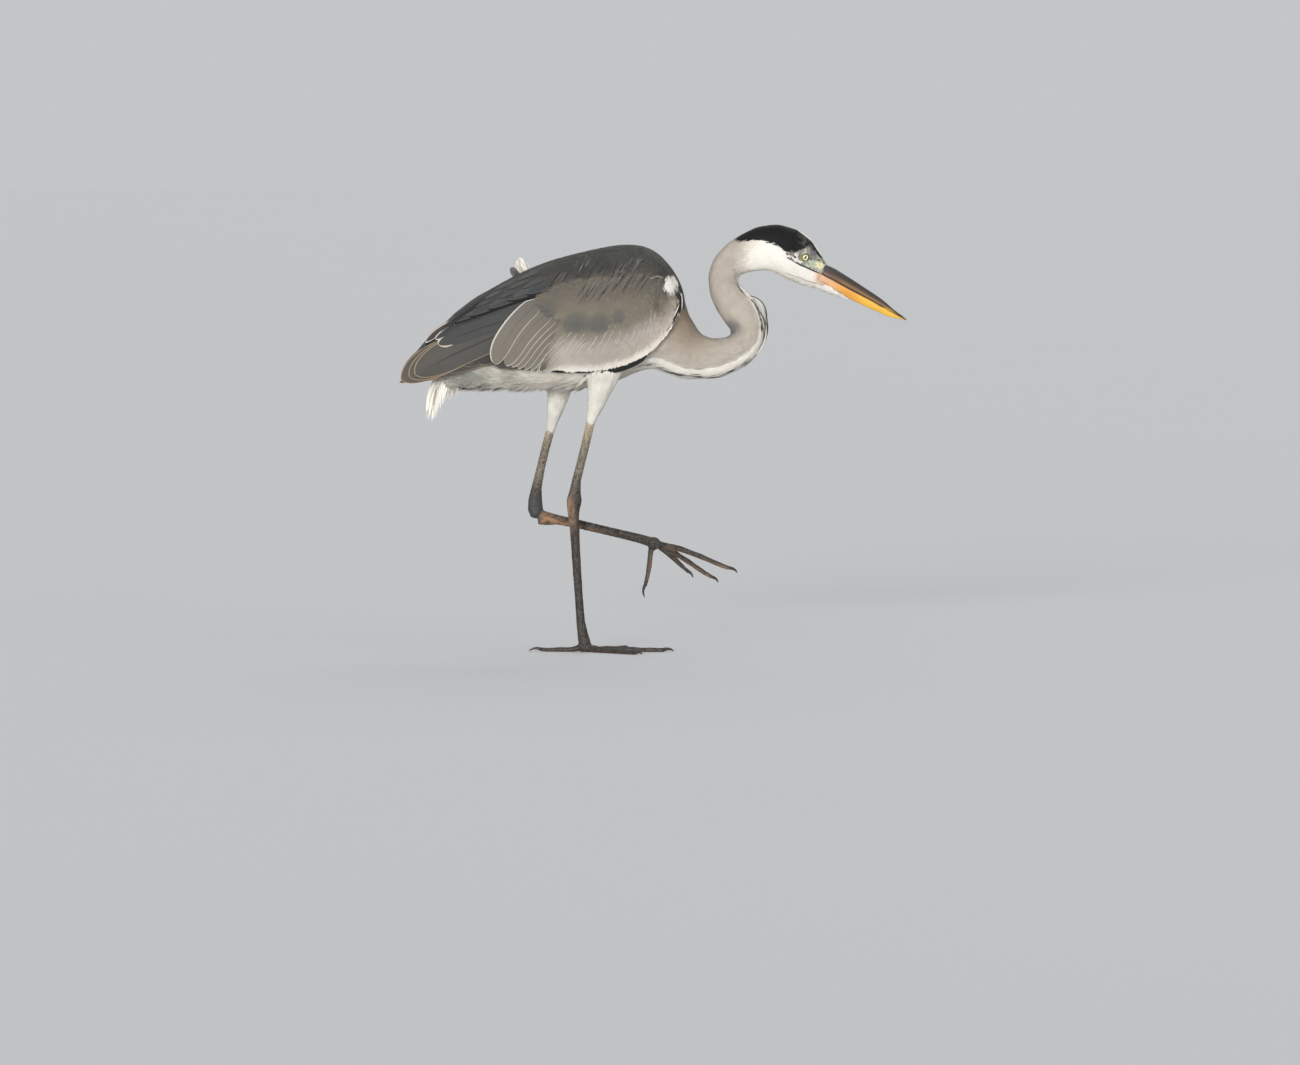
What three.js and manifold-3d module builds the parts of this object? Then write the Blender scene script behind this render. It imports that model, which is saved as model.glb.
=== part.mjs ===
// A cocoi heron at life size, stepping: it stands on its right foot with the left one lifted.
// Millimetres, +Z up. The bird faces +X, its left side is +Y, and its middle plane is XZ.
// The origin is under the right foot, where the pad between the toes meets the floor.

import * as THREE from "three";
import { mergeVertices } from "three/addons/utils/BufferGeometryUtils.js";
import Module from "manifold-3d";

const wasm = await Module();
wasm.setup();

// ---- driving dimensions ----

const GAP = 0.3; // left between two pieces that touch
const FLOOR = 0; // level of the flats under the standing foot
const HIP_Y = 36; // from the middle plane to the middle of each feathered thigh
const EYE_R = 7; // eyeball
const EYE_AT = new THREE.Vector3(315.5, 12.4, 564.6); // left eye, the right one mirrored
const GAPE_SLOPE = -0.542; // rise over run of the line where the bill closes
const GAPE_AT = new THREE.Vector3(352, 0, 534); // on that line, at the root of the culmen

// Sides of each kind of limb's section.
const ROUND = { body: 24, neck: 20, bill: 12, leg: 10, toe: 8 };

const COLOURS = {
  slate: 0x6f6d69,
  wing: 0x8d8982,
  neck: 0xb8b0a6,
  crown: 0x3a3a3c,
  white: 0xe6e1d6,
  bill: 0xd9a046,
  culmen: 0x5a4a44,
  eye: 0xd8cf6a,
  leg: 0x6b6358,
  claw: 0x2f2b28,
};

const AXIS_Y = new THREE.Vector3(0, 1, 0);
const REACH_Y = 120; // wider than the bird is to either side

// ---- tools ----

const at = (x, y, z) => new THREE.Vector3(x, y, z);

// A closed mesh as a solid for cutting and joining.
function solidOf(geometry) {
  const bare = geometry.index ? geometry.toNonIndexed() : geometry;
  for (const name of Object.keys(bare.attributes)) {
    if (name !== "position") bare.deleteAttribute(name);
  }
  const merged = mergeVertices(bare, 1e-4);
  return new wasm.Manifold(
    new wasm.Mesh({
      numProp: 3,
      vertProperties: merged.attributes.position.array,
      triVerts: new Uint32Array(merged.index.array),
    }),
  );
}

// The solid as a geometry for a three.js mesh.
function geometryOf(solid) {
  const mesh = solid.getMesh();
  const places = new Float32Array(mesh.numVert * 3);
  for (let i = 0; i < mesh.numVert; i++) {
    const start = i * mesh.numProp;
    places.set(mesh.vertProperties.subarray(start, start + 3), i * 3);
  }
  const geometry = new THREE.BufferGeometry();
  geometry.setAttribute("position", new THREE.BufferAttribute(places, 3));
  geometry.setIndex(new THREE.BufferAttribute(new Uint32Array(mesh.triVerts), 1));
  geometry.computeVertexNormals();
  return geometry;
}

// A smooth limb through stations [x, y, z, half width, half depth, egg]: width lies along `side`,
// depth across both side and path, and egg above 0 makes the section wider on its upper half.
class Limb {
  constructor(stations, round, side = AXIS_Y) {
    this.middle = new THREE.CatmullRomCurve3(stations.map(([x, y, z]) => at(x, y, z)));
    this.sizes = new THREE.CatmullRomCurve3(
      stations.map(([, , , width, depth, egg = 0]) => at(width, depth, egg)),
    );
    this.last = stations.length - 1;
    this.length = this.middle.getLength();
    this.round = round;
    this.side = side;
  }

  // The part of the limb from station `from` to station `to`, every size grown by `grow`.
  solid({ from = 0, to = this.last, steps = 1, grow = 0, upright = false } = {}) {
    const rows = Math.max(1, Math.round((to - from) * steps));
    const tube = new THREE.CylinderGeometry(1, 1, 1, this.round, rows);
    const places = tube.attributes.position;
    const point = at(0, 0, 0);
    for (let i = 0; i < places.count; i++) {
      point.fromBufferAttribute(places, i);
      const share = (from + (to - from) * (point.y + 0.5)) / this.last;
      const { x: width, y: depth, z: egg } = this.sizes.getPoint(share);
      const ahead = upright ? at(1, 0, 0) : this.middle.getTangent(share);
      const across = this.side.clone().addScaledVector(ahead, -this.side.dot(ahead)).normalize();
      const up = ahead.clone().cross(across);
      const lean = 1 + egg * point.x;
      const place = this.middle
        .getPoint(share)
        .addScaledVector(across, point.z * (width + grow) * lean)
        .addScaledVector(up, point.x * (depth + grow));
      places.setXYZ(i, place.x, place.y, place.z);
    }
    let made = solidOf(tube);
    if (made.volume() < 0) {
      tube.index.array.reverse();
      made = solidOf(tube);
    }
    return made;
  }

  // The limb parted at the given stations, with a thin gap at each.
  lengths(cuts, options = {}) {
    const half = ((GAP / 2) * this.last) / this.length;
    const ends = [0, ...cuts, this.last];
    return ends.slice(1).map((to, i) => {
      const from = ends[i];
      return this.solid({
        ...options,
        from: i === 0 ? from : from + half,
        to: i === cuts.length ? to : to - half,
      });
    });
  }
}

// A side outline [x, z] drawn as a smooth closed line, made a slab from y = near to y = far.
function slab(points, near, far) {
  const outline = new THREE.Shape();
  outline.moveTo(...points[0]);
  outline.splineThru([...points.slice(1), points[0]].map(([x, z]) => new THREE.Vector2(x, z)));
  const geometry = new THREE.ExtrudeGeometry(outline, {
    depth: far - near,
    bevelEnabled: false,
    curveSegments: 2,
  });
  geometry.rotateX(Math.PI / 2);
  geometry.translate(0, far, 0);
  return solidOf(geometry);
}

const joined = (...solids) => solids.reduce((sum, solid) => sum.add(solid));
const without = (solid, ...others) => others.reduce((rest, other) => rest.subtract(other), solid);
const mirrored = (solid) => solid.mirror([0, 1, 0]);
const sphere = (radius, place) =>
  solidOf(new THREE.SphereGeometry(radius, 11, 7).translate(place.x, place.y, place.z));

// The largest body of a solid, without the slivers that a cut may leave.
function main(solid) {
  return solid.decompose().sort((a, b) => b.volume() - a.volume())[0];
}

const heron = new THREE.Group();

function piece(name, solid, colour, roughness = 0.75) {
  const material = new THREE.MeshStandardMaterial({ color: colour, roughness, metalness: 0 });
  const mesh = new THREE.Mesh(geometryOf(main(solid)), material);
  mesh.name = name;
  heron.add(mesh);
}

// ---- trunk ----

// [x, top z, bottom z, half width] of the feathered body under the wings, tail end first.
const BODY = [
  [-194, 475, 380, 26],
  [-156, 507, 377, 34],
  [-121, 527, 378, 42],
  [-85, 546, 376, 49],
  [-50, 560, 376, 55],
  [-14, 570, 376, 59],
  [21, 578, 379, 61],
  [50, 583, 389, 60],
  [78, 583, 402, 57],
  [99, 575, 406, 53],
  [118, 559, 413, 46],
  [131, 540, 427, 37],
  [140, 520, 450, 26],
  [145, 503, 474, 12],
];
const TAIL_END = [
  [-262, 394, 384, 15],
  [-245, 422, 385, 20],
  [-220, 456, 383, 25],
];
const BACK_EGG = -0.16; // the back is narrower than the belly
const WING_DEPTH = 9.5; // from the body to the outside of the folded wing

const upright = (rows, wider = 0, egg = BACK_EGG) =>
  new Limb(
    rows.map(([x, top, bottom, width]) => [
      x, 0, (top + bottom) / 2, width + wider, (top - bottom) / 2, egg,
    ]),
    ROUND.body,
  );

const body = upright(BODY);
const outside = upright([...TAIL_END, ...BODY], WING_DEPTH, -0.08);
const lining = upright([...TAIL_END, ...BODY], 0.5);

// Side outline of the mantle and shoulder feathers, which lie over the top edge of the wings.
const MANTLE = [
  [146, 500], [132, 526], [98, 534], [50, 525], [0, 520], [-50, 513], [-85, 500],
  [-121, 482], [-160, 470], [-204, 465], [-215, 500], [-150, 600], [60, 620], [170, 590],
];

const lowered = (outline, by) => outline.map(([x, z]) => [x, z - by]);

function trunkSolid(grow) {
  const mantle = slab(lowered(MANTLE, grow), -REACH_Y, REACH_Y);
  const back = outside
    .solid({ from: TAIL_END.length, to: outside.last, upright: true, grow })
    .intersect(mantle);
  return joined(body.solid({ upright: true, grow }), back);
}

// ---- neck and head ----

// [x, y, z, half width, half depth, egg] from inside the breast, round the S bend, to the bill.
const NECK = [
  [85, 0, 466, 45, 54],
  [116, 0, 449, 43, 50],
  [143, 0, 427.5, 33, 38],
  [173, 0, 419, 27, 31, -0.05],
  [199, 0, 422.5, 24, 27.4],
  [220, 0, 431.5, 22, 24.6],
  [232.5, 0, 445, 21, 23.2],
  [235.5, 0, 460, 20.5, 24.2],
  [229.5, 0, 476.5, 20, 27],
  [217, 0, 494.5, 19.5, 27.4],
  [205, 0, 510, 19, 24.6],
  [197.5, 0, 528, 18, 21.4],
  [199.5, 0, 543.5, 17.5, 21.3],
  [208, 0, 557, 17.5, 23.6],
  [223.5, 0, 566.3, 18, 26.4],
  [242, 0, 573.5, 19.5, 29.8, 0.03],
  [260.5, 0, 578.2, 21.5, 33, 0.06],
  [277, 0, 577.2, 23, 34.6, 0.08],
  [292, 0, 571.5, 23, 34, 0.06],
  [305, 0, 560.8, 21, 33, 0.03],
  [318.5, 0, 550.5, 17.5, 26.8],
  [329.5, 0, 542, 14.5, 22.6],
  [337, 0, 536.4, 12.6, 18.8],
];
const NECK_CUTS = [3.5, 5.5, 8.5, 11.5, 14.6];
const NECK_NAMES = ["neck_base", "neck_lower", "neck_bend", "neck_middle", "neck_upper", "head"];

const neck = new Limb(NECK, ROUND.neck);

// [x, y, z, half width, half depth] of both halves of the bill, from inside the head to the tip.
const BILL = [
  [306, 0, 558, 9, 10],
  [322, 0, 549.5, 11.5, 14.5],
  [338, 0, 541, 11.4, 15.2],
  [352, 0, 534.4, 10.4, 15.2],
  [366, 0, 526.6, 9.2, 14.4],
  [380.5, 0, 518.8, 8, 13.2],
  [395, 0, 510.6, 6.9, 12],
  [409, 0, 502.6, 5.8, 11],
  [423, 0, 494.6, 4.7, 9.2],
  [437.6, 0, 485.6, 3.3, 6.4],
  [452, 0, 479, 1.5, 2.9],
  [459.5, 0, 475.4, 0.6, 0.8],
];
// The feathered chin, which runs out under the lower bill to a point.
const CHIN = [
  [312, 0, 538, 12, 12],
  [330, 0, 532.5, 10.5, 11],
  [348, 0, 523, 8.4, 9],
  [366, 0, 514, 5.6, 6],
  [382, 0, 505.4, 2.4, 2],
];
const chin = new Limb(CHIN, ROUND.leg);
const bill = new Limb(BILL, ROUND.bill);

// ---- wings and tail ----

// Side outline of the folded wing, from the wrist along the lower edge to the tip and back.
const WING = [
  [141, 506], [136, 527], [122, 540], [98, 545], [50, 540], [0, 535], [-50, 528],
  [-100, 512], [-150, 500], [-192, 473], [-221, 449], [-241, 427], [-256, 405], [-266, 388],
  [-263, 383.5], [-240, 385], [-215, 389], [-190, 398], [-163, 411], [-140, 411], [-113, 404.5],
  [-50, 403.5], [21, 404], [64, 415], [92, 430], [113, 448], [129, 470], [138, 488],
];

// [x, y, z, half width, half depth] of the closed tail, which lies between the wing tips.
const TAIL = [
  [-194, 0, 431, 23, 27],
  [-215, 0, 419, 20, 17],
  [-240, 0, 403, 17.5, 9],
  [-258, 0, 393, 15, 5],
  [-266, 0, 389, 11, 2.5],
];
const tail = new Limb(TAIL, ROUND.leg);

// A loose white feather that hangs from under the tail.
const VENT_TUFT = [
  [-203, 2, 390, 6, 13],
  [-209, 3, 372, 5, 11],
  [-216, 3, 354, 3.4, 6.5],
  [-222, 3, 335, 1.2, 1.6],
];
const ventTuft = new Limb(VENT_TUFT, ROUND.toe);

// A pale feather of the far shoulder that stands up over the back.
const BACK_TUFT = [
  [-80, 22, 534, 4, 11],
  [-88, 24, 548, 4, 10],
  [-95, 25, 558, 2, 4.5],
];
const backTuft = new Limb(BACK_TUFT, ROUND.toe);

// ---- legs ----

// Both legs as [x, y, z, half width, half depth]; depth is from front to back of the leg.
const RIGHT = {
  thigh: [
    [32, -HIP_Y, 422, 17, 31],
    [26, -HIP_Y, 392, 16, 23],
    [22, -HIP_Y + 1, 376, 13.5, 18],
    [17.5, -HIP_Y + 2, 358, 10, 13],
    [12, -HIP_Y + 4, 340, 7, 8.4],
    [9.5, -HIP_Y + 5, 331, 5.6, 6.8],
  ],
  shin: [
    [9.4, -30.9, 330.6, 5, 6.2],
    [3, -29, 302, 4.7, 6],
    [-4, -26.5, 274, 4.8, 6],
    [-11, -24, 246, 5.2, 6.3],
    [-13, -22.5, 230, 6.6, 8.2],
    [-14, -21.5, 219, 7.6, 10.8],
    [-14.8, -20.8, 211, 7.6, 10.2],
  ],
  tarsus: [
    [-15, -20.6, 209.5, 7.2, 9.8],
    [-15.2, -19.8, 199, 6, 8],
    [-14, -18.2, 182, 4.9, 6.9],
    [-12.8, -16, 160, 4.6, 6.4],
    [-10.4, -11.5, 118, 4.5, 6],
    [-7.4, -7, 75, 4.5, 5.7],
    [-5.2, -3.6, 44, 4.9, 6.1],
    [-2, -1.5, 24, 6, 7.6],
    [0.4, -0.5, 13, 6.6, 9],
  ],
};
const LEFT = {
  thigh: [
    [-27, HIP_Y, 422, 16, 29],
    [-32, HIP_Y + 1, 392, 15.5, 22],
    [-36, HIP_Y + 2, 374, 13.5, 18],
    [-40.5, HIP_Y + 4, 352, 10.5, 13.5],
    [-46, HIP_Y + 6, 328, 7, 8],
    [-48.5, HIP_Y + 7, 317, 5.6, 6.8],
  ],
  shin: [
    [-48.6, 43.1, 316.6, 5, 6.2],
    [-56, 45.5, 289, 4.7, 5.9],
    [-63, 48.5, 260, 4.8, 6],
    [-68.6, 51.5, 234, 5.3, 7.2],
    [-70.8, 53.8, 216, 6.8, 9.8],
    [-70.6, 55.2, 202, 7.6, 11],
    [-68.6, 55.9, 192.4, 7, 9],
  ],
  tarsus: [
    [-64, 56, 190.4, 6.8, 11],
    [-54, 51.5, 188.4, 6, 9.8],
    [-38, 43.5, 187, 5, 6.9],
    [-8, 28.5, 181.4, 4.5, 6.3],
    [22, 13.5, 175.2, 4.4, 6.1],
    [52, -2, 169, 4.4, 6.1],
    [78, -16, 163.5, 5, 6.5],
    [94, -24.5, 159, 6.4, 7],
  ],
};

const ANKLE_R = 8.6; // the knob between shin and tarsus
const PAD_R = 9.5; // the knuckle where the toes meet

// Each toe: the lengths of its bones, of its claw, and its half width at the root.
const TOES = {
  middle: { bones: [34, 30, 26, 19], claw: 16, girth: 4.8 },
  inner: { bones: [37, 31], claw: 15, girth: 4.5 },
  outer: { bones: [28, 23, 22, 20], claw: 14, girth: 4.5 },
  hind: { bones: [31, 27], claw: 21, girth: 4.4 },
};
const TIP_GIRTH = 0.66; // of the root's girth, at the end of a toe
const WAIST = 0.87; // of the girth, between two joints
const FLAT_DEPTH = 0.4; // how far the pads of a standing toe are pressed flat
const CLAW_ARC = [-22, 4, 30]; // degrees each third of a claw dips, added to its toe's own dip
const CLAW_GIRTH = [0.44, 0.32, 0.12]; // of the toe's root girth, at the end of each third

// Both feet: where the leg's knob and the toes' knuckle are, and for each toe its heading from
// straight ahead, towards the bird's left, and how much each bone dips, both in degrees.
const FEET = {
  right: {
    leg: RIGHT,
    stands: true,
    ankle: at(-14.4, -21.3, 214),
    knuckle: at(1, 0, 7.2),
    side: AXIS_Y,
    toes: { middle: [-2, [0]], inner: [42, [0]], outer: [-41, [0]], hind: [176, [0]] },
  },
  left: {
    leg: LEFT,
    stands: false,
    ankle: at(-70.2, 55, 197),
    knuckle: at(99.5, -28, 156.8),
    side: at(-0.2, 0.93, 0.3).normalize(),
    toes: {
      middle: [-5, [12, 20, 23, 22]],
      inner: [-38, [31, 36]],
      outer: [8, [27, 32, 35, 33]],
      hind: [184, [84, 80]],
    },
  },
};

const step = (length, heading, dip) => {
  const [turn, fall] = [heading, dip].map(THREE.MathUtils.degToRad);
  return at(Math.cos(turn) * Math.cos(fall), Math.sin(turn) * Math.cos(fall), -Math.sin(fall))
    .multiplyScalar(length);
};

// Stations of a toe from the knuckle to the claw's tip: a waist and a pad for each bone.
function toeStations({ bones, claw, girth }, foot, heading, dips) {
  const whole = bones.reduce((sum, bone) => sum + bone);
  const place = foot.knuckle.clone().add(step(PAD_R / 3, heading, 0));
  const rows = [[place.x, place.y, place.z, girth, girth * 1.08]];
  let walked = 0;
  let dip = 0;
  bones.forEach((bone, i) => {
    dip = dips[i] ?? dip;
    for (const thinned of [WAIST, 1]) {
      walked += bone / 2;
      place.add(step(bone / 2, heading, dip));
      const size = girth * thinned * (1 - (1 - TIP_GIRTH) * (walked / whole));
      if (foot.stands) place.z = FLOOR + size - FLAT_DEPTH;
      rows.push([place.x, place.y, place.z, size, size]);
    }
  });
  CLAW_ARC.forEach((arc, i) => {
    place.add(step(claw / CLAW_ARC.length, heading, dip + arc));
    rows.push([place.x, place.y, place.z, girth * CLAW_GIRTH[i], girth * CLAW_GIRTH[i] * 1.2]);
  });
  return rows;
}

// ---- putting the bird together ----

const trunk = trunkSolid(0);
const trunkGrown = trunkSolid(GAP);

const neckParts = neck.lengths(NECK_CUTS);
const neckGrown = neck.solid({ to: 4, grow: GAP });
const wholeBill = bill.solid();
const billGrown = bill.solid({ grow: GAP });

// The two halves of the bill meet on a slanting plane.
const gapeUp = at(-GAPE_SLOPE, 0, 1).normalize();
const gapeLevel = gapeUp.dot(GAPE_AT);
const billUpper = wholeBill.trimByPlane(gapeUp.toArray(), gapeLevel + GAP / 2);
const billLower = wholeBill.trimByPlane(gapeUp.clone().negate().toArray(), -(gapeLevel - GAP / 2));

const eyes = {
  left: EYE_AT,
  right: at(EYE_AT.x, -EYE_AT.y, EYE_AT.z),
};

piece("trunk", trunk, COLOURS.slate);
NECK_NAMES.forEach((name, i) => {
  let solid = neckParts[i];
  if (name === "neck_base") solid = without(solid, trunkGrown);
  if (name === "head") {
    const sockets = Object.values(eyes).map((place) => sphere(EYE_R + GAP, place));
    solid = without(joined(solid, chin.solid()), billGrown, ...sockets);
  }
  piece(name, solid, name === "head" ? COLOURS.crown : COLOURS.neck);
});
piece("bill_upper", billUpper, COLOURS.culmen, 0.35);
piece("bill_lower", billLower, COLOURS.bill, 0.35);
for (const [name, place] of Object.entries(eyes)) {
  const eyeball = sphere(EYE_R, place);
  piece(`eye_${name}`, without(eyeball, billGrown), COLOURS.eye, 0.1);
}

piece("tail", without(tail.solid(), trunkGrown), COLOURS.slate);
const tailGrown = tail.solid({ grow: GAP });

const liningSolid = lining.solid({ upright: true, to: TAIL_END.length + 0.4 });
const wingRight = without(
  outside.solid({ upright: true }).intersect(slab(WING, -REACH_Y, -1.5)),
  trunkGrown,
  liningSolid,
  neckGrown,
  tailGrown,
);
const underWings = slab(lowered(WING, GAP), -REACH_Y, REACH_Y);
piece("wing_right", wingRight, COLOURS.wing);
piece("wing_left", mirrored(wingRight), COLOURS.wing);
const inTheWay = [trunkGrown, tailGrown, wingRight, mirrored(wingRight)];
piece("vent_tuft", without(ventTuft.solid(), ...inTheWay), COLOURS.white);
piece("back_tuft", without(backTuft.solid(), ...inTheWay), COLOURS.white);

for (const [sideName, foot] of Object.entries(FEET)) {
  const named = (part) => `${part}_${sideName}`;
  const onFloor = (solid) => (foot.stands ? solid.trimByPlane([0, 0, 1], FLOOR) : solid);
  const limbs = Object.fromEntries(
    Object.entries(foot.leg).map(([part, rows]) => [part, new Limb(rows, ROUND.leg)]),
  );
  const knuckle = (grow) => sphere(PAD_R + grow, foot.knuckle);
  const shin = (grow) => joined(limbs.shin.solid({ grow }), sphere(ANKLE_R + grow, foot.ankle));
  piece(named("thigh"), without(limbs.thigh.solid(), trunkGrown, underWings), COLOURS.white);
  piece(named("shin"), without(shin(0), limbs.thigh.solid({ grow: GAP })), COLOURS.leg);
  piece(named("tarsus"), without(limbs.tarsus.solid(), shin(GAP), knuckle(GAP)), COLOURS.leg);
  piece(named("foot"), onFloor(knuckle(0)), COLOURS.leg);
  const laid = [];
  for (const [toeName, [heading, dips]] of Object.entries(foot.toes)) {
    const rows = toeStations(TOES[toeName], foot, heading, dips);
    const toe = new Limb(rows, ROUND.toe, foot.side);
    const clawFrom = rows.length - 1 - CLAW_ARC.length + 0.35;
    const [flesh, claw] = toe.lengths([clawFrom]);
    const others = [...laid, limbs.tarsus.solid({ grow: GAP })];
    piece(named(`toe_${toeName}`), without(onFloor(flesh), knuckle(GAP), ...others), COLOURS.leg);
    piece(named(`claw_${toeName}`), onFloor(claw), COLOURS.claw, 0.4);
    laid.push(toe.solid({ grow: GAP }));
  }
}

export default heron;
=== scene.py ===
"""A heron as a still, life-size museum model: one skin, its feathers, bill, eyes, claws and scales."""

import functools
import math
from types import SimpleNamespace

import bmesh
import bpy
import numpy as np
from bpy.props import FloatProperty, FloatVectorProperty, PointerProperty
from mathutils import Matrix, Vector
from mathutils.bvhtree import BVHTree


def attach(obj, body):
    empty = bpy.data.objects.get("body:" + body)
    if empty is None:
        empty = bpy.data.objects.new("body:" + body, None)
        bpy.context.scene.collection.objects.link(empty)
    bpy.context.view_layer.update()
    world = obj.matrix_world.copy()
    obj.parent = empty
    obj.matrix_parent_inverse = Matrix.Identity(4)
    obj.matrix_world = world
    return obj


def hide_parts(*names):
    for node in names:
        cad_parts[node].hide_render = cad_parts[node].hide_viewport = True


bl_info = {
    "name": "Heron model",
    "version": (1, 0, 0),
    "blender": (4, 5, 0),
    "location": "View3D > Sidebar > Heron",
    "description": "Builds the skin, feathers, bill, eyes, claws and scales of a life-size heron",
    "category": "Object",
}

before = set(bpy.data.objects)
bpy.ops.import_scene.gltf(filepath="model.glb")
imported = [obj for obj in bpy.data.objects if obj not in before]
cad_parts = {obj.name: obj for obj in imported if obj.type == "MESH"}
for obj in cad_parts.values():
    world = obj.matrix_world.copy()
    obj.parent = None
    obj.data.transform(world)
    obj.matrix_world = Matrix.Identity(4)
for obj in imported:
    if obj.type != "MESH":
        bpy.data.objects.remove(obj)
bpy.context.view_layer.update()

MM = 0.001
SEED = 71
BAKE_PATCH = 0.003  # side of each feather's patch on the OFBake map
TINT_JOLT = 0.6 * MM  # a feather takes its colour this far aside, so that markings have soft edges
POINTS = 9  # places along the middle line of a feather
BATCH = 20000  # places compared with the neck's middle line at a time


def paint(red, green, blue):
    """A screen colour as the linear light that a material takes."""
    return tuple(c / 12.92 if c <= 0.04045 else ((c + 0.055) / 1.055) ** 2.4 for c in (red, green, blue))


# ---- sizes and colours that a user would change ----


def length(name, description, default):
    return FloatProperty(name=name, description=description, default=default, min=0.0, unit="LENGTH")


def colour(name, description, default):
    return FloatVectorProperty(
        name=name, description=description, default=default, subtype="COLOR", min=0.0, max=1.0
    )


class HeronPlumage(bpy.types.PropertyGroup):
    """How deep and how long the feathers are."""

    body_depth: length("Body coat", "From the tips of the body feathers in to the skin", 0.005)
    wing_depth: length("Wing coat", "From the outside of the folded wing in to its skin", 0.004)
    neck_depth: length("Neck coat", "From the tips of the neck feathers in to the skin", 0.0026)
    head_depth: length("Head coat", "From the tips of the head feathers in to the skin", 0.0014)
    neck_feather: length("Neck feather", "Length of a feather halfway up the neck", 0.014)
    head_feather: length("Head feather", "Length of a feather on the cheek", 0.0062)
    belly_feather: length("Belly feather", "Length of a lock of white belly down", 0.024)
    back_feather: length("Back feather", "Length of a short grey feather of the back", 0.024)


class HeronColours(bpy.types.PropertyGroup):
    """Colours of the plumage."""

    slate: colour("Slate", "Back and shoulders", paint(0.27, 0.27, 0.262))
    plume: colour("Plumes", "Hair-like plumes over the wing", paint(0.39, 0.375, 0.355))
    covert: colour("Coverts", "Middle of the folded wing", paint(0.52, 0.485, 0.425))
    pale: colour("Pale coverts", "Lower part of the folded wing", paint(0.725, 0.69, 0.655))
    quill: colour("Flight feathers", "Long feathers at the end of the wing", paint(0.27, 0.27, 0.268))
    buff: colour("Buff edges", "Worn edges of the flight feathers", paint(0.66, 0.57, 0.46))
    neck: colour("Neck", "Sides of the neck", paint(0.75, 0.71, 0.66))
    white: colour("White", "Belly, face and throat", paint(0.965, 0.945, 0.905))
    black: colour("Black", "Crown and the streaks of the neck", paint(0.075, 0.075, 0.078))


class HeronSkin(bpy.types.PropertyGroup):
    """Colours of the bare parts."""

    leg: colour("Legs", "Shins and toes", paint(0.235, 0.215, 0.195))
    shin: colour("Bare shin", "Above the ankle", paint(0.485, 0.445, 0.385))
    sole: colour("Soles", "Back of the ankle and under the toes", paint(0.60, 0.46, 0.36))
    face: colour("Face", "Bare skin between eye and bill", paint(0.66, 0.66, 0.63))
    iris: colour("Iris", "Pale yellow ring of the eye", paint(0.95, 0.94, 0.70))
    horn: colour("Upper bill", "Dark horn of the upper bill", paint(0.20, 0.175, 0.16))
    bill_base: colour("Bill base", "Pinkish base of the lower bill", paint(0.88, 0.70, 0.57))
    bill_orange: colour("Bill", "Orange length of the lower bill", paint(0.90, 0.63, 0.27))
    claw: colour("Claws", "Dark horn of the claws", paint(0.16, 0.14, 0.13))


class HeronStage(bpy.types.PropertyGroup):
    """Floor, light and camera."""

    floor: colour("Floor", "Plain pale floor", (0.60, 0.61, 0.62))
    camera_distance: length("Camera distance", "From the camera to the heron", 12.0)
    view_width: length("View width", "Width of the picture at the heron", 1.859)
    camera_rise: FloatProperty(
        name="Camera rise",
        description="How far the camera looks down",
        default=math.radians(3),
        subtype="ANGLE",
    )


GROUPS = {
    "heron_plumage": HeronPlumage,
    "heron_colours": HeronColours,
    "heron_skin": HeronSkin,
    "heron_stage": HeronStage,
}


# ---- the shape of the bird ----

# Middle of the neck as [x, z] in millimetres, from inside the breast to the bill.
NECK_LINE = [
    (85, 466), (116, 449), (143, 427.5), (173, 419), (199, 422.5), (220, 431.5), (232.5, 445),
    (235.5, 460), (229.5, 476.5), (217, 494.5), (205, 510), (197.5, 528), (199.5, 543.5), (208, 557),
    (223.5, 566.3), (242, 573.5), (260.5, 578.2), (277, 577.2), (292, 571.5), (305, 560.8),
    (318.5, 550.5), (337, 536.4), (365, 521),
]
# Lower edge of the mantle over the wing, and lower edge of the folded wing, as [x, z].
MANTLE_EDGE = [
    (-262, 397), (-240, 430), (-204, 461), (-160, 475), (-121, 486), (-85, 500), (-50, 510),
    (0, 517), (50, 521), (98, 527), (126, 530), (141, 508),
]
WING_EDGE = [
    (-266, 386), (-240, 385), (-215, 389), (-190, 398), (-163, 411), (-113, 404.5), (-50, 402),
    (21, 403), (64, 414), (92, 429), (113, 447), (129, 470), (141, 506),
]
# Lower edge of the black crown, from the nape to the forehead, and the line of the gape.
CROWN_EDGE = [
    (196, 577), (202, 582), (217, 587), (236, 588.4), (253, 588), (268, 584), (281, 578),
    (290, 570.5), (298, 572), (306, 574.6), (314, 578), (322, 581), (330, 572), (340, 563),
]
GAPE_LINE = [(286, 564.8), (290.3, 562.7), (298, 558.4), (306, 554.3), (318, 549.4), (329, 545.6), (352, 534)]
# Fine lines drawn on the head: along the gape; under the jaw, whose grey line is painted shadow; behind the
# eye; and up the forehead, whose pale line is a painted highlight, the glint along the crown.
GAPE_MARK = [(299, 558.6), (306.8, 554.9), (318.5, 549.6), (330.2, 544.4), (339, 540.2), (351, 534)]
JAW_MARK = [(288, 543), (294, 540), (307, 536.2), (317, 531.4), (331.7, 527.8), (342.6, 524)]
CHEEK_MARK = [(291, 567), (296, 564.6), (301, 562), (309, 557.6)]
BROW_GLINT = [(303, 603), (306.8, 600.5), (313, 595.5), (318.5, 590.3), (326.5, 580.7), (333, 573), (339, 564)]
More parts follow.
